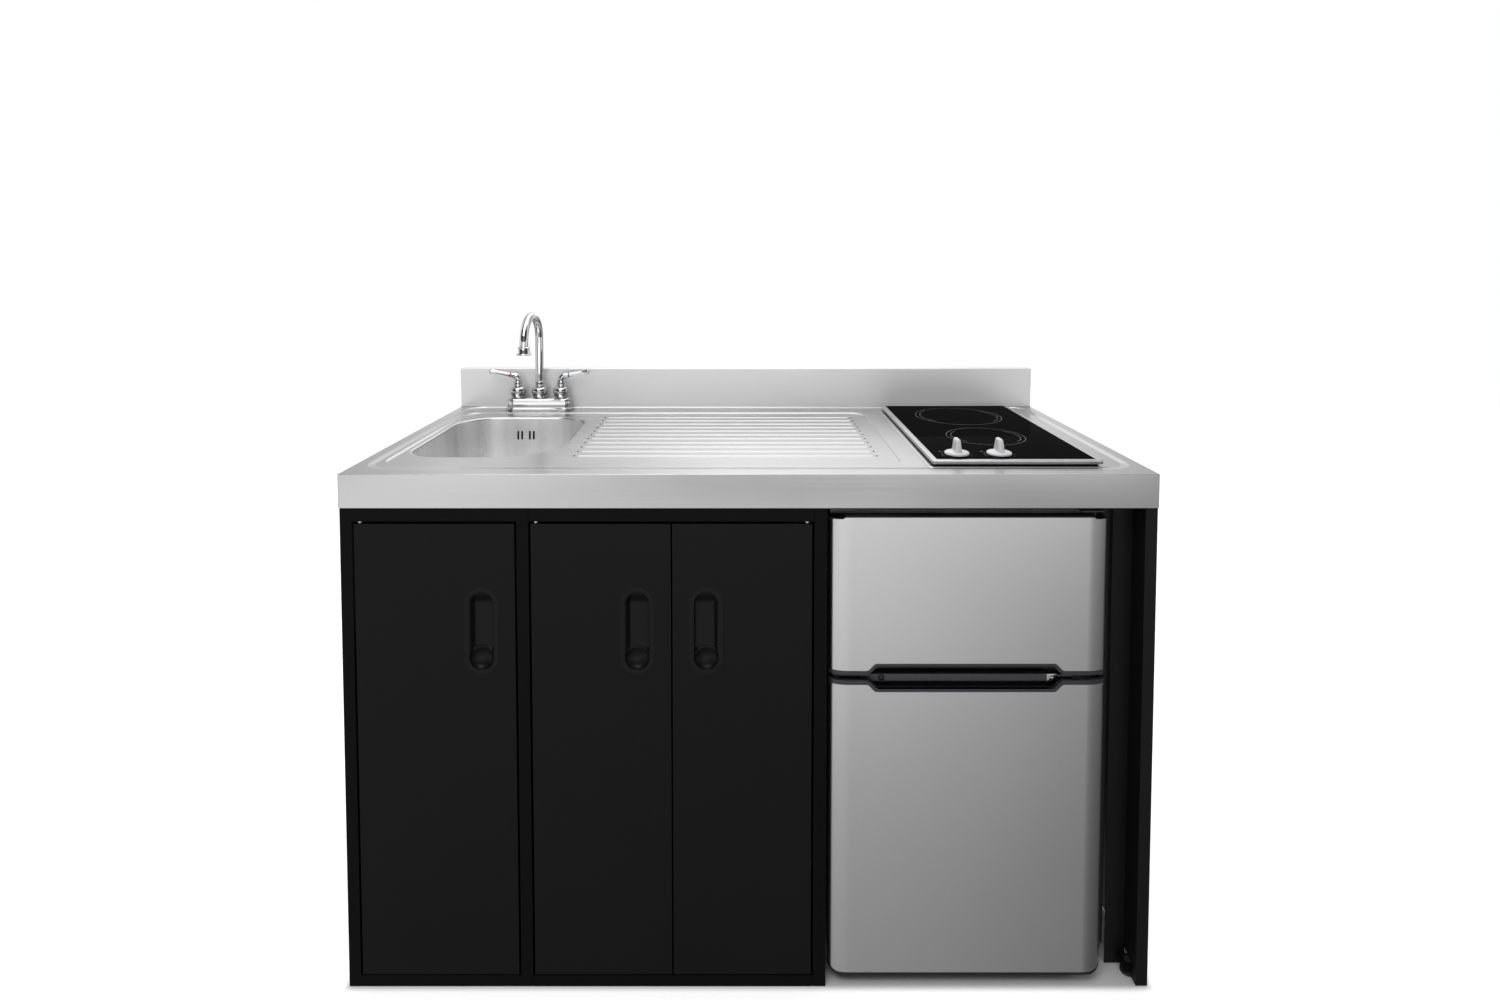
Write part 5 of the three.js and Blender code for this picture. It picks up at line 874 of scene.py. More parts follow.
def make_spout():
    foot = spout_low.z
    mouth = aerator_high.z + 0.3 * MM
    arc_foot = mouth + SPOUT_NECK
    rise = spout_high.z - SPOUT_RADIUS - arc_foot
    x, y = middle_of("spout_aerator")
    reach = (tap_y - y) / 2
    path = [(tap_x, tap_y, foot + (arc_foot - foot) * i / 6) for i in range(6)]
    for turn in (math.pi * i / 32 for i in range(33)):
        path.append((tap_x, tap_y - reach + reach * math.cos(turn), arc_foot + rise * math.sin(turn)))
    path.append((tap_x, tap_y - 2 * reach, mouth))
    profile = [(0, 0), (11.2, 0), (11.4, 0.8), (11.4, 2.6), (10.6, 3.6), (9.3, 4.2)]
    collar = lathed(profile, foot, tap_x, tap_y)
    piece("spout_tube", merged(tube(path, SPOUT_RADIUS, 40), collar), chrome, node="tap_spout", angle=50)

    radius = (aerator_high.x - aerator_low.x) / 2
    steps = [(-5.2, 6.4), (-4.8, 0.4), (-4.2, 0), (-0.7, 0), (-0.2, 0.4), (0, 1.2), (-0.2, 2.0), (-0.9, 2.6),
             (-2.4, 3.2), (-3.0, 4.4), (-3.3, 8), (-3.9, 11.2), (-4.9, 13.4), (-4.6, 14), (-3.4, 14.6),
             (-3.1, 15.6), (-3.4, 16.6), (-5.0, 17.6), (-6.8, 19)]
    low = aerator_low.z
    profile = [(0, low + 6.5 * MM), *((radius + r * MM, low + z * MM) for r, z in steps), (0, low + 19 * MM)]
    piece("aerator_shell", turned(profile, x, y), chrome, node="spout_aerator", angle=40)


def make_handle(side, ring_material, direction):
    """A lever that points left for a direction of -1 and right for 1."""
    low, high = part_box(f"{side}_handle")
    pivot = tap_x + direction * HUB_SPACING
    foot = low.z
    tip_z = high.z - 6.3 * MM

    def at(reach, z):
        return pivot + direction * reach * MM, tap_y, z

    route = [at(0, foot + 1 * MM), at(0, foot + 7 * MM), at(1.2, foot + 11.5 * MM), at(5, foot + 15.6 * MM),
             at(11, foot + 17.6 * MM), at(22, tip_z - 7.4 * MM), at(36, tip_z - 4.6 * MM),
             at(48, tip_z - 2.3 * MM), at(56, tip_z - 1.0 * MM), at(63, tip_z)]
    path = curve_through(route, LEVER_STEPS)
    bar = tube(path, [r.x * MM for r in curve_through([(r, 0) for r in LEVER_RADII], LEVER_STEPS)], 28)
    cap = tube([at(62.8, tip_z), at(63.4, tip_z), at(65.6, tip_z + 0.1 * MM), at(66.5, tip_z + 0.2 * MM)],
               [6.2 * MM, 6.8 * MM, 6.6 * MM, 5.2 * MM], 28)
    bell = [(0, 0), (8.8, 0), (9.4, 0.6), (9.4, 2), (8.6, 3.4), (7.4, 4.6), (7.2, 8)]
    piece(f"{side}_lever", merged(bar, cap, lathed(bell, foot, pivot, tap_y)), chrome, node=f"{side}_handle",
          angle=55)
    first = int(RING_PLACE * LEVER_STEPS)
    piece(f"{side}_colour_ring", tube(path[first:first + 2], 6.35 * MM, 28), ring_material,
          body=f"{side}_lever", slot="chrome")


# ------------------------------------------------------------------ hob

FRAME_WIDTH = 9.5 * MM
FRAME_RADIUS = 4 * MM
HOB_EDGE_DROP = 2.2 * MM  # how far the frame's thin lower edge hangs below it
# The rings' radii and how far their middles lie behind the hob's front edge.
ZONES = ((92 * MM, 389 * MM), (75 * MM, 190 * MM))
ZONE_LINE = 0.55 * MM
KNOBS = ("left_hob_knob", "right_hob_knob")


def make_hob():
    def ring(by, z):
        return lifted(rounded_ring(*inset(hob_plan, by), max(FRAME_RADIUS - by, 1.2 * MM), 5), z)

    low, high = hob_low.z, hob_high.z
    rings = [ring(FRAME_WIDTH, low), ring(1.4 * MM, low), ring(0.2 * MM, low + 0.6 * MM),
             ring(0, low + 1.2 * MM), ring(0, high - 1.9 * MM), ring(0.4 * MM, high - 1.1 * MM),
             ring(1.9 * MM, high - 0.25 * MM), ring(2.6 * MM, high),
             ring(FRAME_WIDTH - 0.5 * MM, high - 0.1 * MM), ring(FRAME_WIDTH - 0.1 * MM, high - 0.4 * MM),
             ring(FRAME_WIDTH, low)]
    piece("hob_trim", skin(rings), satin_steel, node="hob_frame", angle=30)
    foot = low - HOB_EDGE_DROP
    edge = [ring(0.3 * MM, low - 0.02 * MM), ring(0.3 * MM, foot + 0.3 * MM), ring(0.6 * MM, foot),
            ring(2 * MM, foot), ring(2 * MM, low - 0.02 * MM)]
    piece("hob_trim_edge", skin(edge), satin_steel, slot="satin_steel", angle=30)
    piece("hob_plate", soft_box(*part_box("hob_glass"), 0.3 * MM), black_glass, node="hob_glass")


def arc_strip(x, y, radius, width, start=0, end=360):
    """A flat line printed on the hob's glass along an arc."""
    bm = bmesh.new()
    first = math.radians(start)
    verts = [bm.verts.new((r * math.cos(first), r * math.sin(first), 0))
             for r in (radius - width / 2, radius + width / 2)]
    edge = bm.edges.new(verts)
    bmesh.ops.spin(bm, geom=[*verts, edge], cent=(0, 0, 0), axis=(0, 0, 1), angle=math.radians(end - start),
                   steps=max(12, int((end - start) / 5)), use_merge=end - start >= 360)
    bmesh.ops.translate(bm, verts=bm.verts, vec=(x, y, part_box("hob_glass")[1].z + 0.03 * MM))
    return bm


def make_markings():
    """The cooking rings, and round each knob an arc, a row of dots and a small symbol."""
    middle = (hob_low.x + hob_high.x) / 2
    marks = []
    for radius, back in ZONES:
        zone = (middle, hob_low.y + back)
        marks.append(arc_strip(*zone, radius, ZONE_LINE))
        marks += [arc_strip(*zone, radius - 9 * MM, ZONE_LINE, start, start + 84) for start in (-42, 138)]
    for node in KNOBS:
        x, y = middle_of(node)
        marks.append(arc_strip(x, y, 26 * MM, 0.35 * MM, 100, 250))
        for turn in (math.radians(degrees) for degrees in range(-60, 90, 30)):
            dot = (x + 26.5 * MM * math.cos(turn), y + 26.5 * MM * math.sin(turn))
            marks.append(arc_strip(*dot, 0.35 * MM, 0.7 * MM))
        symbol = (x - 24 * MM, y + 24 * MM)
        marks += [arc_strip(*symbol, 3 * MM, 0.3 * MM), arc_strip(*symbol, 0.5 * MM, 1.0 * MM)]
    piece("hob_markings", merged(*marks), mark, slot="black_glass")


def make_knob(node):
    x, y = middle_of(node)
    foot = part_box(node)[0].z
    skirt = [(0, 0), (21.4, 0), (21.9, 0.5), (22, 1.2), (22, 2.4), (21.6, 3.4), (20.4, 4.4), (18, 5.2),
             (14, 5.7), (0, 6.2)]
    sizes = [(14.5, 37, 4.4), (12.2, 35.4, 6.4), (11.2, 34, 9), (10.4, 31.6, 14), (9.7, 28.6, 19),
             (9.0, 25.6, 23), (8.0, 23.2, 26), (6.0, 20.4, 27.6), (3.0, 16.5, 28)]
    rings = []
    for width, length, z in curve_through(sizes, 3):
        ring = rounded_ring(-width / 2, width / 2, -length / 2, length / 2, width / 2 - 0.02, 8)
        rings.append([(x + px * MM, y + py * MM, foot + z * MM) for px, py in ring])
    piece(f"{node}_cap", merged(lathed(skirt, foot, x, y, 72), skin(rings, False, True)), knob_white,
          node=node, angle=40)
    base = [(0, -1.2), (20.6, -1.2), (20.8, -0.6), (20.6, -0.1), (0, -0.1)]
    piece(f"{node}_base_ring", lathed(base, foot, x, y), plastic, slot="black_plastic")


# ------------------------------------------------------------------ cabinet door pulls

PULL_PROUD = 0.5 * MM
CUP_WIDTH = 41 * MM
CUP_HEIGHT = 133 * MM
CUP_DEPTH = 9.5 * MM
CUP_CROWN = 21 * MM  # how long the slope at the cup's upper end is
HINGE_SIDE_WALL = 9 * MM
FREE_SIDE_WALL = 1.6 * MM
SCOOP_DEPTH = 11 * MM
SCOOP_RADIUS = 20.5 * MM
SCOOP_TOP = 16.5 * MM  # the ridge above the scoop, from the scoop's middle
CUP_INSETS = (0, 0.4, 0.8, 1.2, 1.6, 2.2, 3, 4, 5, 6, 7, 8, 9, 10.5, 12, 14, 16, 18, 20, 20.5)


def slot_ring(width, height, arc=12, side=46):
    """Points round an upright slot with round ends, about the origin."""
    radius = width / 2
    straight = height / 2 - radius
    turns = [math.pi * i / (2 * arc) for i in range(2 * arc)]
    half = [(radius, straight * (2 * i / side - 1)) for i in range(side)]
    half += [(radius * math.cos(a), straight + radius * math.sin(a)) for a in turns]
    return half + [(-x, -z) for x, z in half]


def cup_depth(u, v):
    """How deep a cup is, with u from its middle towards the door's free edge and v upwards."""
    edge = -on_plate(u, v, (-CUP_WIDTH / 2, CUP_WIDTH / 2, -CUP_HEIGHT / 2, CUP_HEIGHT / 2, CUP_WIDTH / 2))
    wall = HINGE_SIDE_WALL + (FREE_SIDE_WALL - HINGE_SIDE_WALL) * smooth_step(u / CUP_WIDTH + 0.5)
    crown = smooth_step((CUP_HEIGHT / 2 - v) / CUP_CROWN)
    level = CUP_DEPTH * min(smooth_step(edge / wall), crown)
    up = v + CUP_HEIGHT / 2 - SCOOP_RADIUS
    scoop = SCOOP_DEPTH * math.sqrt(max(1 - (u * u + up * up) / SCOOP_RADIUS ** 2, 0))
    ridge = math.sqrt(max(SCOOP_TOP ** 2 - 0.6 * u * u, 0))
    share = smooth_step((up - ridge + 1.5 * MM) / (4 * MM))
    return scoop + (max(level, 0) - scoop) * share


def make_pull(node, free_side):
    """A finger cup, with its free side to the right for 1 and to the left for -1."""
    low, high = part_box(node)
    x, z = (low.x + high.x) / 2, (low.z + high.z) / 2
    door_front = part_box("left_door")[0].y
    face = door_front - PULL_PROUD

    def ring(width, height, y):
        return [(x + px, y, z + pz) for px, pz in slot_ring(width, height)]

    def plate_ring(by, y):
        return ring(high.x - low.x - 2 * by, high.z - low.z - 2 * by, y)

    def cup_ring(by):
        return [(x + px, face + 0.5 * MM + cup_depth(px * free_side, pz), z + pz)
                for px, pz in slot_ring(CUP_WIDTH - 2 * by, CUP_HEIGHT - 2 * by)]

    body = (CUP_WIDTH + 4 * MM, CUP_HEIGHT + 4 * MM)
    rings = [ring(*body, high.y), ring(*body, door_front + 0.1 * MM), plate_ring(0, door_front + 0.1 * MM),
             plate_ring(0.1 * MM, face + 0.25 * MM), plate_ring(0.5 * MM, face),
             ring(CUP_WIDTH + 1.6 * MM, CUP_HEIGHT + 1.6 * MM, face)]
    shape = skin(rings + [cup_ring(by * MM) for by in CUP_INSETS], True)
    bmesh.ops.remove_doubles(shape, verts=shape.verts, dist=1e-5)
    piece(f"{node}_cup", shape, pull_plastic, node=node, angle=60)


# ------------------------------------------------------------------ fridge-freezer

freezer_low, freezer_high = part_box("freezer_door")
chiller_low, chiller_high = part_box("fridge_door")

SIDE_BOW = 36 * MM  # the doors' fronts bow back over this width at each side
BOW_DEPTH = 14 * MM
SKIN = 1.2 * MM
RIM_DEPTH = 8 * MM
RIM_WIDTH = 4.8 * MM
RIM_HEIGHT = 7.5 * MM
GRIP_LEFT = 64 * MM
GRIP_WIDTH = 335 * MM
GRIP_SLANT = 17 * MM
GRIP_RISE = 12.5 * MM
CAP_HEIGHT = 4.5 * MM
FOOT_CORNER = 22 * MM
CROWN_INSET = 27 * MM
CROWN_DEPTH = 15.5 * MM
PAST = 10 * MM  # how far a cutting shape reaches past what it cuts

split_low, split_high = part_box("fridge_handle")[1].z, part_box("freezer_handle")[0].z
grip_left = freezer_low.x + GRIP_LEFT
grip_right = grip_left + GRIP_WIDTH
cut_front = freezer_low.y - PAST
past_left, past_right = freezer_low.x - PAST, freezer_high.x + PAST


def mirrored(points, total):
    """Points from the left half, mirrored to the right and taken from left to right."""
    return [(total - x, other) for x, other in reversed(points)]


def door_plan(by=0.0):
    """The doors' section seen from above, open at the back."""
    x0, x1 = freezer_low.x + by, freezer_high.x - by
    front = freezer_low.y + by
    turns = [math.radians(9 * i) for i in range(11)]
    left = [(x0 + SIDE_BOW * (1 - math.cos(a)), front + BOW_DEPTH * (1 - math.sin(a))) for a in turns]
    return [(x0, freezer_high.y), *left, *mirrored(left, x0 + x1), (x1, freezer_high.y)]


def door_wall(thickness, low, high):
    """A wall along the doors' front and sides."""
    return flat_prism([*door_plan(), *reversed(door_plan(thickness))], low, high)


def grip_line(edge, away, shift=0.0):
    """The line, from left to right, that leaves a door's edge in a soft S and runs above the grip."""
    left = [(grip_left + shift + GRIP_SLANT * t, edge + away * GRIP_RISE * smooth_step(t))
            for t in (i / 10 for i in range(11))]
    return left + mirrored(left, grip_left + grip_right)


def make_skin(low, high, outline):
    """A door's steel skin: its front and sides, trimmed to an outline seen from the front."""
    shell = combined(door_wall(SKIN, low, high), upright_prism(outline, cut_front, 0), "INTERSECT")
    return soften(shell, 0.35 * MM, 2, 50)


def grip_mouth(edge, away, rear):
    """The opening that a rim leaves at the grip, cut from in front of the door to a rear."""
    inner = grip_line(edge + away * RIM_HEIGHT - away * RIM_WIDTH, away, RIM_WIDTH * 0.75)
    outline = [(inner[0][0], edge - away * PAST), *inner, (inner[-1][0], edge - away * PAST)]
    return upright_prism(outline, cut_front, freezer_low.y + rear)


def make_rim(edge, away):
    """The black edge of a door next to the gap, thin above the grip."""
    outer = grip_line(edge + away * RIM_HEIGHT + away * 0.15 * MM, away)
    area = [(past_left, edge), (past_left, outer[0][1]), *outer, (past_right, outer[-1][1]),
            (past_right, edge)]
    wall = door_wall(RIM_DEPTH, *sorted((edge - away * 1 * MM, edge + away * 30 * MM)))
    rim = combined(wall, upright_prism(area, cut_front, 0), "INTERSECT")
    return soften(combined(rim, grip_mouth(edge, away, RIM_DEPTH + 2 * MM)), 0.7 * MM, 2, 40)


def channel_body(z0, z1, profile, x0, x1):
    """A door's black inside, with a channel of a given section let into it from left to right.

    The section's points are millimetres behind the door's front, with their heights.
    """
    body = flat_prism(door_plan(SKIN + 0.15 * MM), z0, z1)
    return combined(body, side_prism([(freezer_low.y + y * MM, z) for y, z in profile], x0, x1))


def make_freezer_door():
    low, high = freezer_low, freezer_high
    left = [(past_left, high.z - 5 * MM), (low.x + CROWN_INSET - 4 * MM, high.z - 4 * MM),
            (low.x + CROWN_INSET, high.z - 1.2 * MM)]
    outline = left + mirrored(left, low.x + high.x)
    steel_foot = [(past_left, low.z), *grip_line(low.z, 1), (past_right, low.z)]
    steel = make_skin(low.z - PAST, high.z + PAST, [*steel_foot, *reversed(outline)])
    piece("freezer_door_skin", steel, door_steel, body="freezer_leaf", slot="insulated_steel_door", angle=35)
    recess = [(-10, split_high - PAST), (-10, split_high + 22 * MM), (8, split_high + 22 * MM),
              (16, split_high + 19 * MM), (22, split_high + 12 * MM), (24, split_high - PAST)]
    body = channel_body(split_high + 0.3 * MM, high.z - 5 * MM, recess,
                        grip_left + 5 * MM, grip_right - 5 * MM)
    piece("freezer_door_core", soften(body, 0.5 * MM, 1, 50), plastic, node="freezer_door", angle=35)
    cap = soft_box((low.x + CROWN_INSET, low.y + SKIN + 0.2 * MM, high.z - 5 * MM),
                   (high.x - CROWN_INSET, low.y + CROWN_DEPTH, high.z), 0.8 * MM)
    piece("freezer_door_crown", cap, trim, body="freezer_leaf", slot="insulated_steel_door")
    piece("freezer_rim", make_rim(split_high, 1), trim, node="freezer_handle", angle=35)


def make_chiller_door():
    low, high = chiller_low, chiller_high
    x0, x1 = low.x - 0.5 * MM, high.x + 0.5 * MM
    foot = low.z + CAP_HEIGHT

    def foot_ring(z):
        """The door's outline from the front, with its lower corners round, from a height upwards."""
        return rounded_ring(x0, x1, z, high.z + 0.1, (FOOT_CORNER, 1 * MM, 1 * MM, FOOT_CORNER), 10)

    lower = [p for p in foot_ring(foot) if p[1] < high.z]
    start = next(i for i, p in enumerate(lower) if p[1] == min(q[1] for q in lower))
    right = [p for p in lower[start:] if p[0] > (low.x + high.x) / 2]
    left = [p for p in lower if p[0] < (low.x + high.x) / 2]
    outline = [*right, (x1, high.z), *reversed(grip_line(high.z, -1)), (x0, high.z), *left]
    steel = make_skin(low.z - PAST, high.z + PAST, outline)
    piece("chiller_door_skin", steel, door_steel, body="fridge_leaf", slot="insulated_steel_door", angle=35)
    channel = [(8, split_low + PAST), (8, split_low - 16.5 * MM), (11, split_low - 24 * MM),
               (16, split_low - 29 * MM), (21, split_low - 30.5 * MM), (28, split_low - 28 * MM),
               (38.3, split_low - 21 * MM), (38.3, split_low + PAST)]
    body = channel_body(low.z, split_low - 0.3 * MM, channel, past_left, past_right)
    body = combined(body, upright_prism(foot_ring(low.z), cut_front, 0), "INTERSECT")
    body = soften(combined(body, grip_mouth(split_low, -1, RIM_DEPTH + 1 * MM)), 0.5 * MM, 1, 50)
    # The lighter trim paints light on the door's inside, seen in the recess below the grip.
    piece("chiller_door_core", body, lit_trim, node="fridge_door", angle=35)
    foot_wall = combined(door_wall(3 * MM, low.z, foot + FOOT_CORNER),
                         upright_prism(foot_ring(low.z), cut_front, 0), "INTERSECT")
    above = upright_prism([(x, z - 0.15 * MM) for x, z in foot_ring(foot)], cut_front - PAST, PAST)
    piece("chiller_door_foot", soften(combined(foot_wall, above), 0.6 * MM, 2, 40), plastic,
          body="fridge_leaf", slot="insulated_steel_door")
    piece("chiller_rim", make_rim(split_low, -1), trim, node="fridge_handle", angle=35)


BAR_TOP = 4 * MM
BAR_HEIGHT = 12.2 * MM
BAR_FRONT = 15 * MM
BAR_LEFT = 9 * MM
BAR_RIGHT = 98 * MM
PLUG_PLACES = (57 * MM, 91 * MM)


def make_crossbar():
    """The bar between the doors, with two plugs and the middle hinge's bracket on its face."""
    low, high = freezer_low, freezer_high
    top = split_low + BAR_TOP
    front = low.y + BAR_FRONT
    section = [(front, top - BAR_HEIGHT), (front + 24 * MM, top - BAR_HEIGHT),
               (front + 24 * MM, top - 7.5 * MM), (low.y + 47.5 * MM, top - 7.5 * MM),
               (low.y + 47.5 * MM, top + 8 * MM), (low.y + 46 * MM, top + 8 * MM),
               (low.y + 46 * MM, top), (front, top)]
    bar = side_prism(section, low.x + BAR_LEFT, high.x - BAR_RIGHT)
    # The lighter trim paints light on the bar, which sits in the shade of the recess.
    piece("crossbar", soften(bar, 0.6 * MM, 2, 40), lit_trim, slot="black_plastic")
    middle = top - BAR_HEIGHT / 2
    plugs = [faced_front(lathed([(0, 2.4), (2.5, 2.3), (4.6, 1.6), (5.6, 0.4), (5.6, 0)], steps=28),
                         (low.x + place, front, middle)) for place in PLUG_PLACES]
    piece("crossbar_plugs", merged(*plugs), plastic, slot="black_plastic")
    left = high.x - BAR_RIGHT + 0.2 * MM
    bracket = merged(
        soft_box((left, front - 0.8 * MM, top - BAR_HEIGHT),
                 (left + 17 * MM, front + 1.4 * MM, top), 0.5 * MM),
        soft_box((left + 16 * MM, front - 0.6 * MM, top - BAR_HEIGHT + 2 * MM),
                 (left + 44 * MM, front + 12 * MM, top - BAR_HEIGHT + 4.4 * MM), 0.5 * MM))
    piece("centre_bracket", bracket, chrome, slot="zinc_steel")
    piece("centre_bracket_screw", screw_head(3.6 * MM, (left + 9 * MM, front - 0.8 * MM, middle)), zinc,
          slot="zinc_steel")


def screw_head(radius, place):
    """A pan head with a cross in it, facing the front."""
    dome = [(0, radius * 0.62), (radius * 0.5, radius * 0.56), (radius * 0.85, radius * 0.36), (radius, 0),
            (0, 0)]
    head = turned(dome, steps=28)
    arm, half = radius * 0.62, radius * 0.13
    for x, y in ((arm, half), (half, arm)):
        head = combined(head, box_shape((-x, -y, radius * 0.28), (x, y, radius)))
    return faced_front(head, place)


# ------------------------------------------------------------------ feet, waste and the pieces inside

TRAP_RADIUS = 19 * MM
TRAP_BEND = 40 * MM
NUT_HEIGHT = 21 * MM
STUD = 4 * MM  # the radius of a foot's threaded stud
# For each foot the height of its pad, and where its nut starts if it has one.
FEET = {
    "front_foot": (5 * MM, 19.5), "rear_foot": (5 * MM, 19.5),
    "left_fridge_foot": (8 * MM, None), "right_fridge_foot": (8 * MM, None),
}
# The rings of holes in the basket's floor: each ring's radius in millimetres, and how many holes it has.
BASKET_HOLES = ((13, 10), (20, 16), (26, 22))


def make_foot(node, pad, nut_foot):
    """A levelling foot: a pad on a stud, with a nut on it where one is given."""
    low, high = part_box(node)
    x, y = middle_of(node)
    radius, top = (high.x - low.x) / 2, high.z - low.z
    profile = [(0, 0), (radius - 0.8 * MM, 0), (radius, 0.9 * MM), (radius, pad - 1 * MM),
               (radius - 0.9 * MM, pad), (radius * 0.6, pad + 1.2 * MM), (STUD + 1 * MM, pad + 2.4 * MM),
               (STUD, pad + 3.4 * MM), (STUD, top - 0.6 * MM), (STUD - 0.6 * MM, top), (0, top)]
    shapes = [turned([(r, low.z + z) for r, z in profile], x, y, 48)]
    if nut_foot:
        nut = [(0, nut_foot), (7, nut_foot), (7, nut_foot + 5), (0, nut_foot + 5)]
        shapes.append(soften(lathed(nut, 0, x, y, 6), 0.5 * MM, angle=20))
    piece(f"{node}_turned", merged(*shapes), foot_rubber, node=node)


def make_drain():
    """The drain's cup and tail with its nut under the bowl, and the basket that lifts out of it."""
    bed = drain_high.z - 2 * MM
    nut = bed - 1.8 * MM
    cup = bed - 44.3 * MM
    tail = drain_low.z
    radius = (drain_high.x - drain_low.x) / 2
    profile = [(39.5 * MM, bed + 1 * MM), (39.5 * MM, cup), (16 * MM, cup - 6 * MM), (16 * MM, tail),
               (19 * MM, tail), (19 * MM, cup - 7.5 * MM), (41 * MM, cup - 1.5 * MM), (41 * MM, nut - 8 * MM),
               (47 * MM, nut - 8 * MM), (47 * MM, nut), (41 * MM, nut), (41 * MM, bed), (radius, bed),
               (radius, bed + 0.8 * MM), (45 * MM, drain_high.z), (39.5 * MM, bed + 1 * MM)]
    body = soften(turned(profile, drain_x, drain_y, 64), 0.3 * MM, 2, 25)
    piece("drain_turned", body, satin_steel, node="drain_body", angle=40)

    low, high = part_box("basket_strainer")
    foot, top = low.z, high.z
    floor = top - 31 * MM
    wall = (high.x - low.x) / 2
    profile = [(0, foot), (18 * MM, foot), (20 * MM, foot + 1 * MM), (17 * MM, floor), (30 * MM, floor),
               (wall - 1 * MM, floor + 8 * MM), (wall, top - 0.5 * MM), (wall - 0.6 * MM, top),
               (wall - 1.4 * MM, top - 0.5 * MM), (wall - 2.2 * MM, floor + 8.6 * MM),
               (29.4 * MM, floor + 1.2 * MM), (3 * MM, floor + 1.2 * MM), (3 * MM, top - 14 * MM),
               (8 * MM, top - 11 * MM), (8.4 * MM, top - 9 * MM), (8 * MM, top - 7 * MM),
               (4 * MM, top - 5.4 * MM), (0, top - 5 * MM)]
    piece("basket_turned", turned(profile, drain_x, drain_y), chrome, node="basket_strainer", angle=30)
    # Each hole is a thin disc in the painted-shade black on the basket's floor: painted shade in place of a
    # hole.
    holes = []
    for radius, count in BASKET_HOLES:
        for turn in (2 * math.pi * step / count for step in range(count)):
            at = (drain_x + radius * MM * math.cos(turn), drain_y + radius * MM * math.sin(turn))
            holes.append(lathed([(0, 0), (1.3, 0), (1.4, -0.2)], floor + 1.3 * MM, *at, 12))
    piece("basket_hole_shade", merged(*holes), painted_shade_black, body="strainer", slot="chrome")


def elbows(corners, radius, steps=8):
    """A path of (y, z) corners with each one rounded."""
    path = [Vector(corners[0])]
    for before, corner, after in zip(corners, corners[1:], corners[2:]):
        corner = Vector(corner)
        back = (Vector(before) - corner).normalized()
        ahead = (Vector(after) - corner).normalized()
        middle = corner + (back + ahead) * radius
        for turn in (math.pi / 2 * step / steps for step in range(steps + 1)):
            path.append(middle - ahead * radius * math.cos(turn) - back * radius * math.sin(turn))
    return [*path, Vector(corners[-1])]


def make_trap():
    low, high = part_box("drain_trap")
    x = (low.x + high.x) / 2
    top = drain_low.z - 0.3 * MM
    bend, outlet = low.z + TRAP_RADIUS, high.z - TRAP_RADIUS
    rise = drain_y + 2 * TRAP_BEND
    corners = [(drain_y, top), (drain_y, bend), (rise, bend), (rise, outlet), (high.y, outlet)]
    path = [(x, y, z) for y, z in elbows(corners, TRAP_BEND - 0.3 * MM)]
    nut_radius = (high.x - low.x) / 2
    shapes = [tube(path, TRAP_RADIUS, 40)]
    for y, foot in ((drain_y, top - 1 * MM - NUT_HEIGHT), (rise, bend + TRAP_BEND + 4 * MM)):
        nut = [(0, foot), (nut_radius, foot), (nut_radius, foot + NUT_HEIGHT * 0.8),
               (nut_radius - 3 * MM, foot + NUT_HEIGHT), (0, foot + NUT_HEIGHT)]
        shapes.append(soften(turned(nut, x, y, 12), 0.9 * MM, angle=15))
    piece("trap_pipe", merged(*shapes), white, node="drain_trap", angle=35)


def make_compressor():
    """A welded pot: its two halves meet in a flange, and it is longer than it is wide."""
    low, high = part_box("compressor")
    size, middle = high - low, (high + low) / 2
    profile = [(0, 0), (0.36, 0), (0.43, 0.03), (0.475, 0.12), (0.485, 0.44), (0.5, 0.45), (0.5, 0.48),
               (0.485, 0.49), (0.48, 0.74), (0.44, 0.88), (0.33, 0.965), (0.18, 0.995), (0, 1)]
    pot = turned([(r * size.y, z * size.z) for r, z in profile], steps=64)
    bmesh.ops.scale(pot, verts=pot.verts, vec=(size.x / size.y, 1, 1))
    bmesh.ops.translate(pot, verts=pot.verts, vec=(middle.x, middle.y, low.z))
    piece("compressor_pot", pot, powder, node="compressor", angle=40)


def make_gap_shade_strip():
    """A strip in the painted-shade black across the gap between the fridge's case and the end panel: painted
    shade in that gap.
    """
    case_low, case_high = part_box("fridge_case")
    end_low, end_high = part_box("right_end_panel")
    low = (case_high.x + 0.4 * MM, case_low.y + 1 * MM, 30 * MM)
    high = (end_low.x - 0.4 * MM, case_low.y + 3 * MM, end_high.z - 4 * MM)
    piece("bay_gap_shade_strip", soft_box(low, high, 0.5 * MM), painted_shade_black, slot="black_plastic")


def make_back_seam_shade():
    """Strips in the painted-shade black along the seam between the cabinet's floor and its back: painted
    shade in that corner.
    """
    back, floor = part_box("cabinet_back_panel")[0].y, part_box("cabinet_floor")[1].z
    sides = (("left_side_panel", "partition_panel"), ("partition_panel", "bay_side_panel"))
    seam_strips = [soft_box((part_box(left)[1].x + 0.3 * MM, back - 4 * MM, floor + 0.05 * MM),
                      (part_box(right)[0].x - 0.3 * MM, back - 0.1 * MM, floor + 4 * MM), 0.8 * MM)
             for left, right in sides]
    piece("back_seam_shade", merged(*seam_strips), painted_shade_black, slot="seal_rubber")


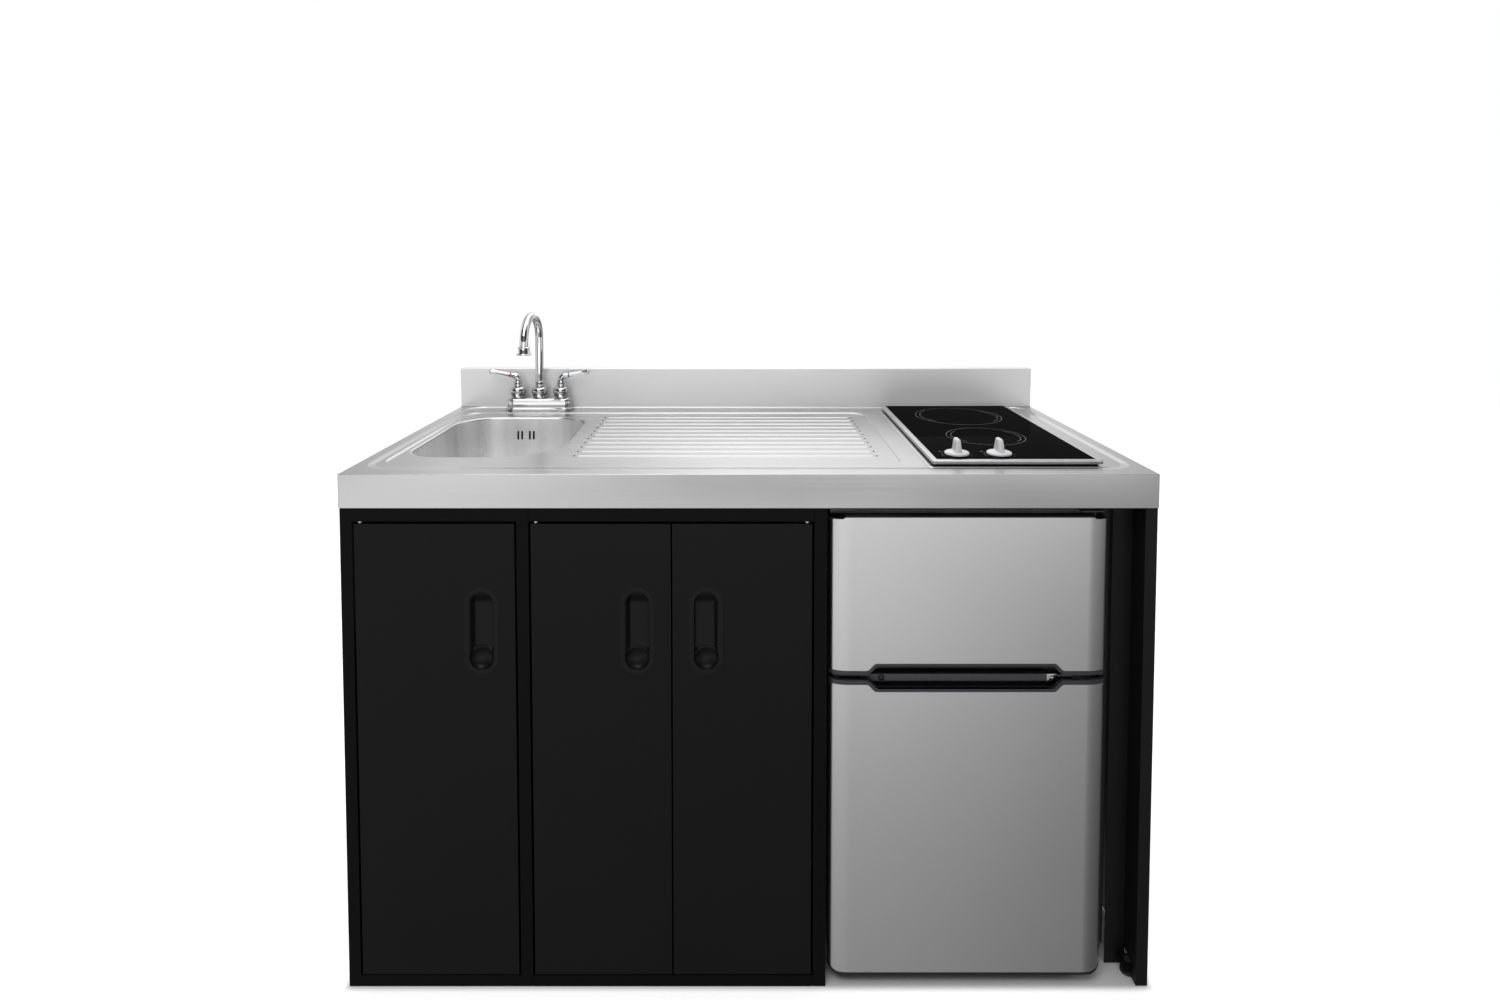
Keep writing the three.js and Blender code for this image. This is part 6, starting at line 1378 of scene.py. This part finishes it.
# How much the edges of the pieces that keep their plain form are rounded, in millimetres.
SOFT_EDGES = {
    "left_face_frame": 0.45, "middle_top_rail": 0.45, "middle_bottom_rail": 0.45, "right_post": 0.45,
    "partition_panel": 0.5, "bay_side_panel": 0.5, "cabinet_floor": 0.5, "middle_shelf": 0.6,
    "cabinet_back_panel": 0.3, "left_side_panel": 0.45, "right_end_panel": 0.45, "left_door": 0.45,
    "middle_left_door": 0.45, "middle_right_door": 0.45, "fridge_case": 1.2, "fridge_liner": 1.5,
    "freezer_door_liner": 1.5, "fridge_door_liner": 1.5, "freezer_gasket": 1.5, "fridge_gasket": 1.5,
    "crisper": 0.8, "glass_shelf": 0.6, "thermostat_knob": 0.6, "centre_hinge": 0.4, "bottom_hinge": 0.4,
    "hob_box": 0.3, "left_door_pin": 0.5, "middle_left_door_pin": 0.5, "middle_right_door_pin": 0.5,
}
# The nodes whose finish isn't the one of their slot. The face frame's darker copy and the end panel's lighter
# copy of the powder coat are painted shade and painted light.
OWN_FINISH = {
    "left_face_frame": shaded_frame_powder, "middle_top_rail": shaded_frame_powder, "middle_bottom_rail": shaded_frame_powder,
    "right_post": shaded_frame_powder, "right_end_panel": lit_end_powder, "top_hinge": trim,
}


def finish_of(node):
    return OWN_FINISH.get(node, slot_finish[slot_of[node]])


def soften_node(node, width):
    """Stands for a solid of the frame with its edges rounded."""
    bm = bmesh.new()
    bm.from_mesh(frame["nodes"][node].data)
    bmesh.ops.remove_doubles(bm, verts=bm.verts, dist=2e-6)
    bmesh.ops.dissolve_limit(bm, angle_limit=math.radians(1), verts=bm.verts, edges=bm.edges)
    piece(f"{node}_dressed", soften(bm, width * MM), finish_of(node), node=node)


# ------------------------------------------------------------------ floor

FLOOR_SIZE = 6.0
FLOOR_GLOW = 0.62
FLOOR_BLEND = 14 * MM
FLOOR_UNDER = -4 * MM  # where the glow starts, inside the unit's outline


def add_floor():
    bm = bmesh.new()
    bmesh.ops.create_grid(bm, x_segments=1, y_segments=1, size=FLOOR_SIZE)
    mesh = bpy.data.meshes.new("floor")
    bm.to_mesh(mesh)
    bm.free()
    mesh.materials.append(floor_white)
    ground = link(bpy.data.objects.new("floor", mesh))
    ground.visible_glossy = False


def lighten_floor():
    """Lets the camera see the floor as white as the backdrop, except under the unit and close to its foot."""
    tree = floor_white.node_tree

    def math_node(operation, *values):
        return add_node(tree, "Math", dict(enumerate(values)), operation=operation)[0]

    axes = add_node(tree, "SeparateXYZ", {0: add_node(tree, "TexCoord", {})["Object"]})
    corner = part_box("left_face_frame")[0]
    outside = [math_node("SUBTRACT", math_node("ABSOLUTE", axes[axis]), abs(corner[axis])) for axis in (0, 1)]
    near = add_node(tree, "MapRange", {
        "Value": math_node("MAXIMUM", *outside), "From Min": FLOOR_UNDER, "From Max": FLOOR_BLEND,
    }, interpolation_type="SMOOTHSTEP")[0]
    seen = add_node(tree, "LightPath", {})["Is Camera Ray"]
    wire(tree, tree.nodes["Principled BSDF"], {
        "Emission Color": (1, 1, 1, 1),
        "Emission Strength": math_node("MULTIPLY", math_node("MULTIPLY", seen, near), FLOOR_GLOW)})


# ------------------------------------------------------------------ putting it together

add_camera()
add_world()
add_floor()
lighten_floor()
for name, settings in SOFTBOXES.items():
    add_softbox(name, *settings)

for node, obj in frame["nodes"].items():
    obj.material_slots[0].material = finish_of(node)

make_worktop()
make_backsplash()
make_bowl()
make_overflow()
make_tap_body()
make_spout()
make_handle("hot", red, -1)
make_handle("cold", blue, 1)
make_hob()
make_markings()
for node in KNOBS:
    make_knob(node)
make_freezer_door()
make_chiller_door()
make_crossbar()
for node, free_side in (("left_door_pull", 1), ("middle_left_door_pull", 1), ("middle_right_door_pull", -1)):
    make_pull(node, free_side)
for node, width in SOFT_EDGES.items():
    soften_node(node, width)
for node, (pad, nut_foot) in FEET.items():
    make_foot(node, pad, nut_foot)
make_drain()
make_trap()
make_compressor()
make_gap_shade_strip()
make_back_seam_shade()

bpy.context.scene.view_settings.view_transform = "Standard"
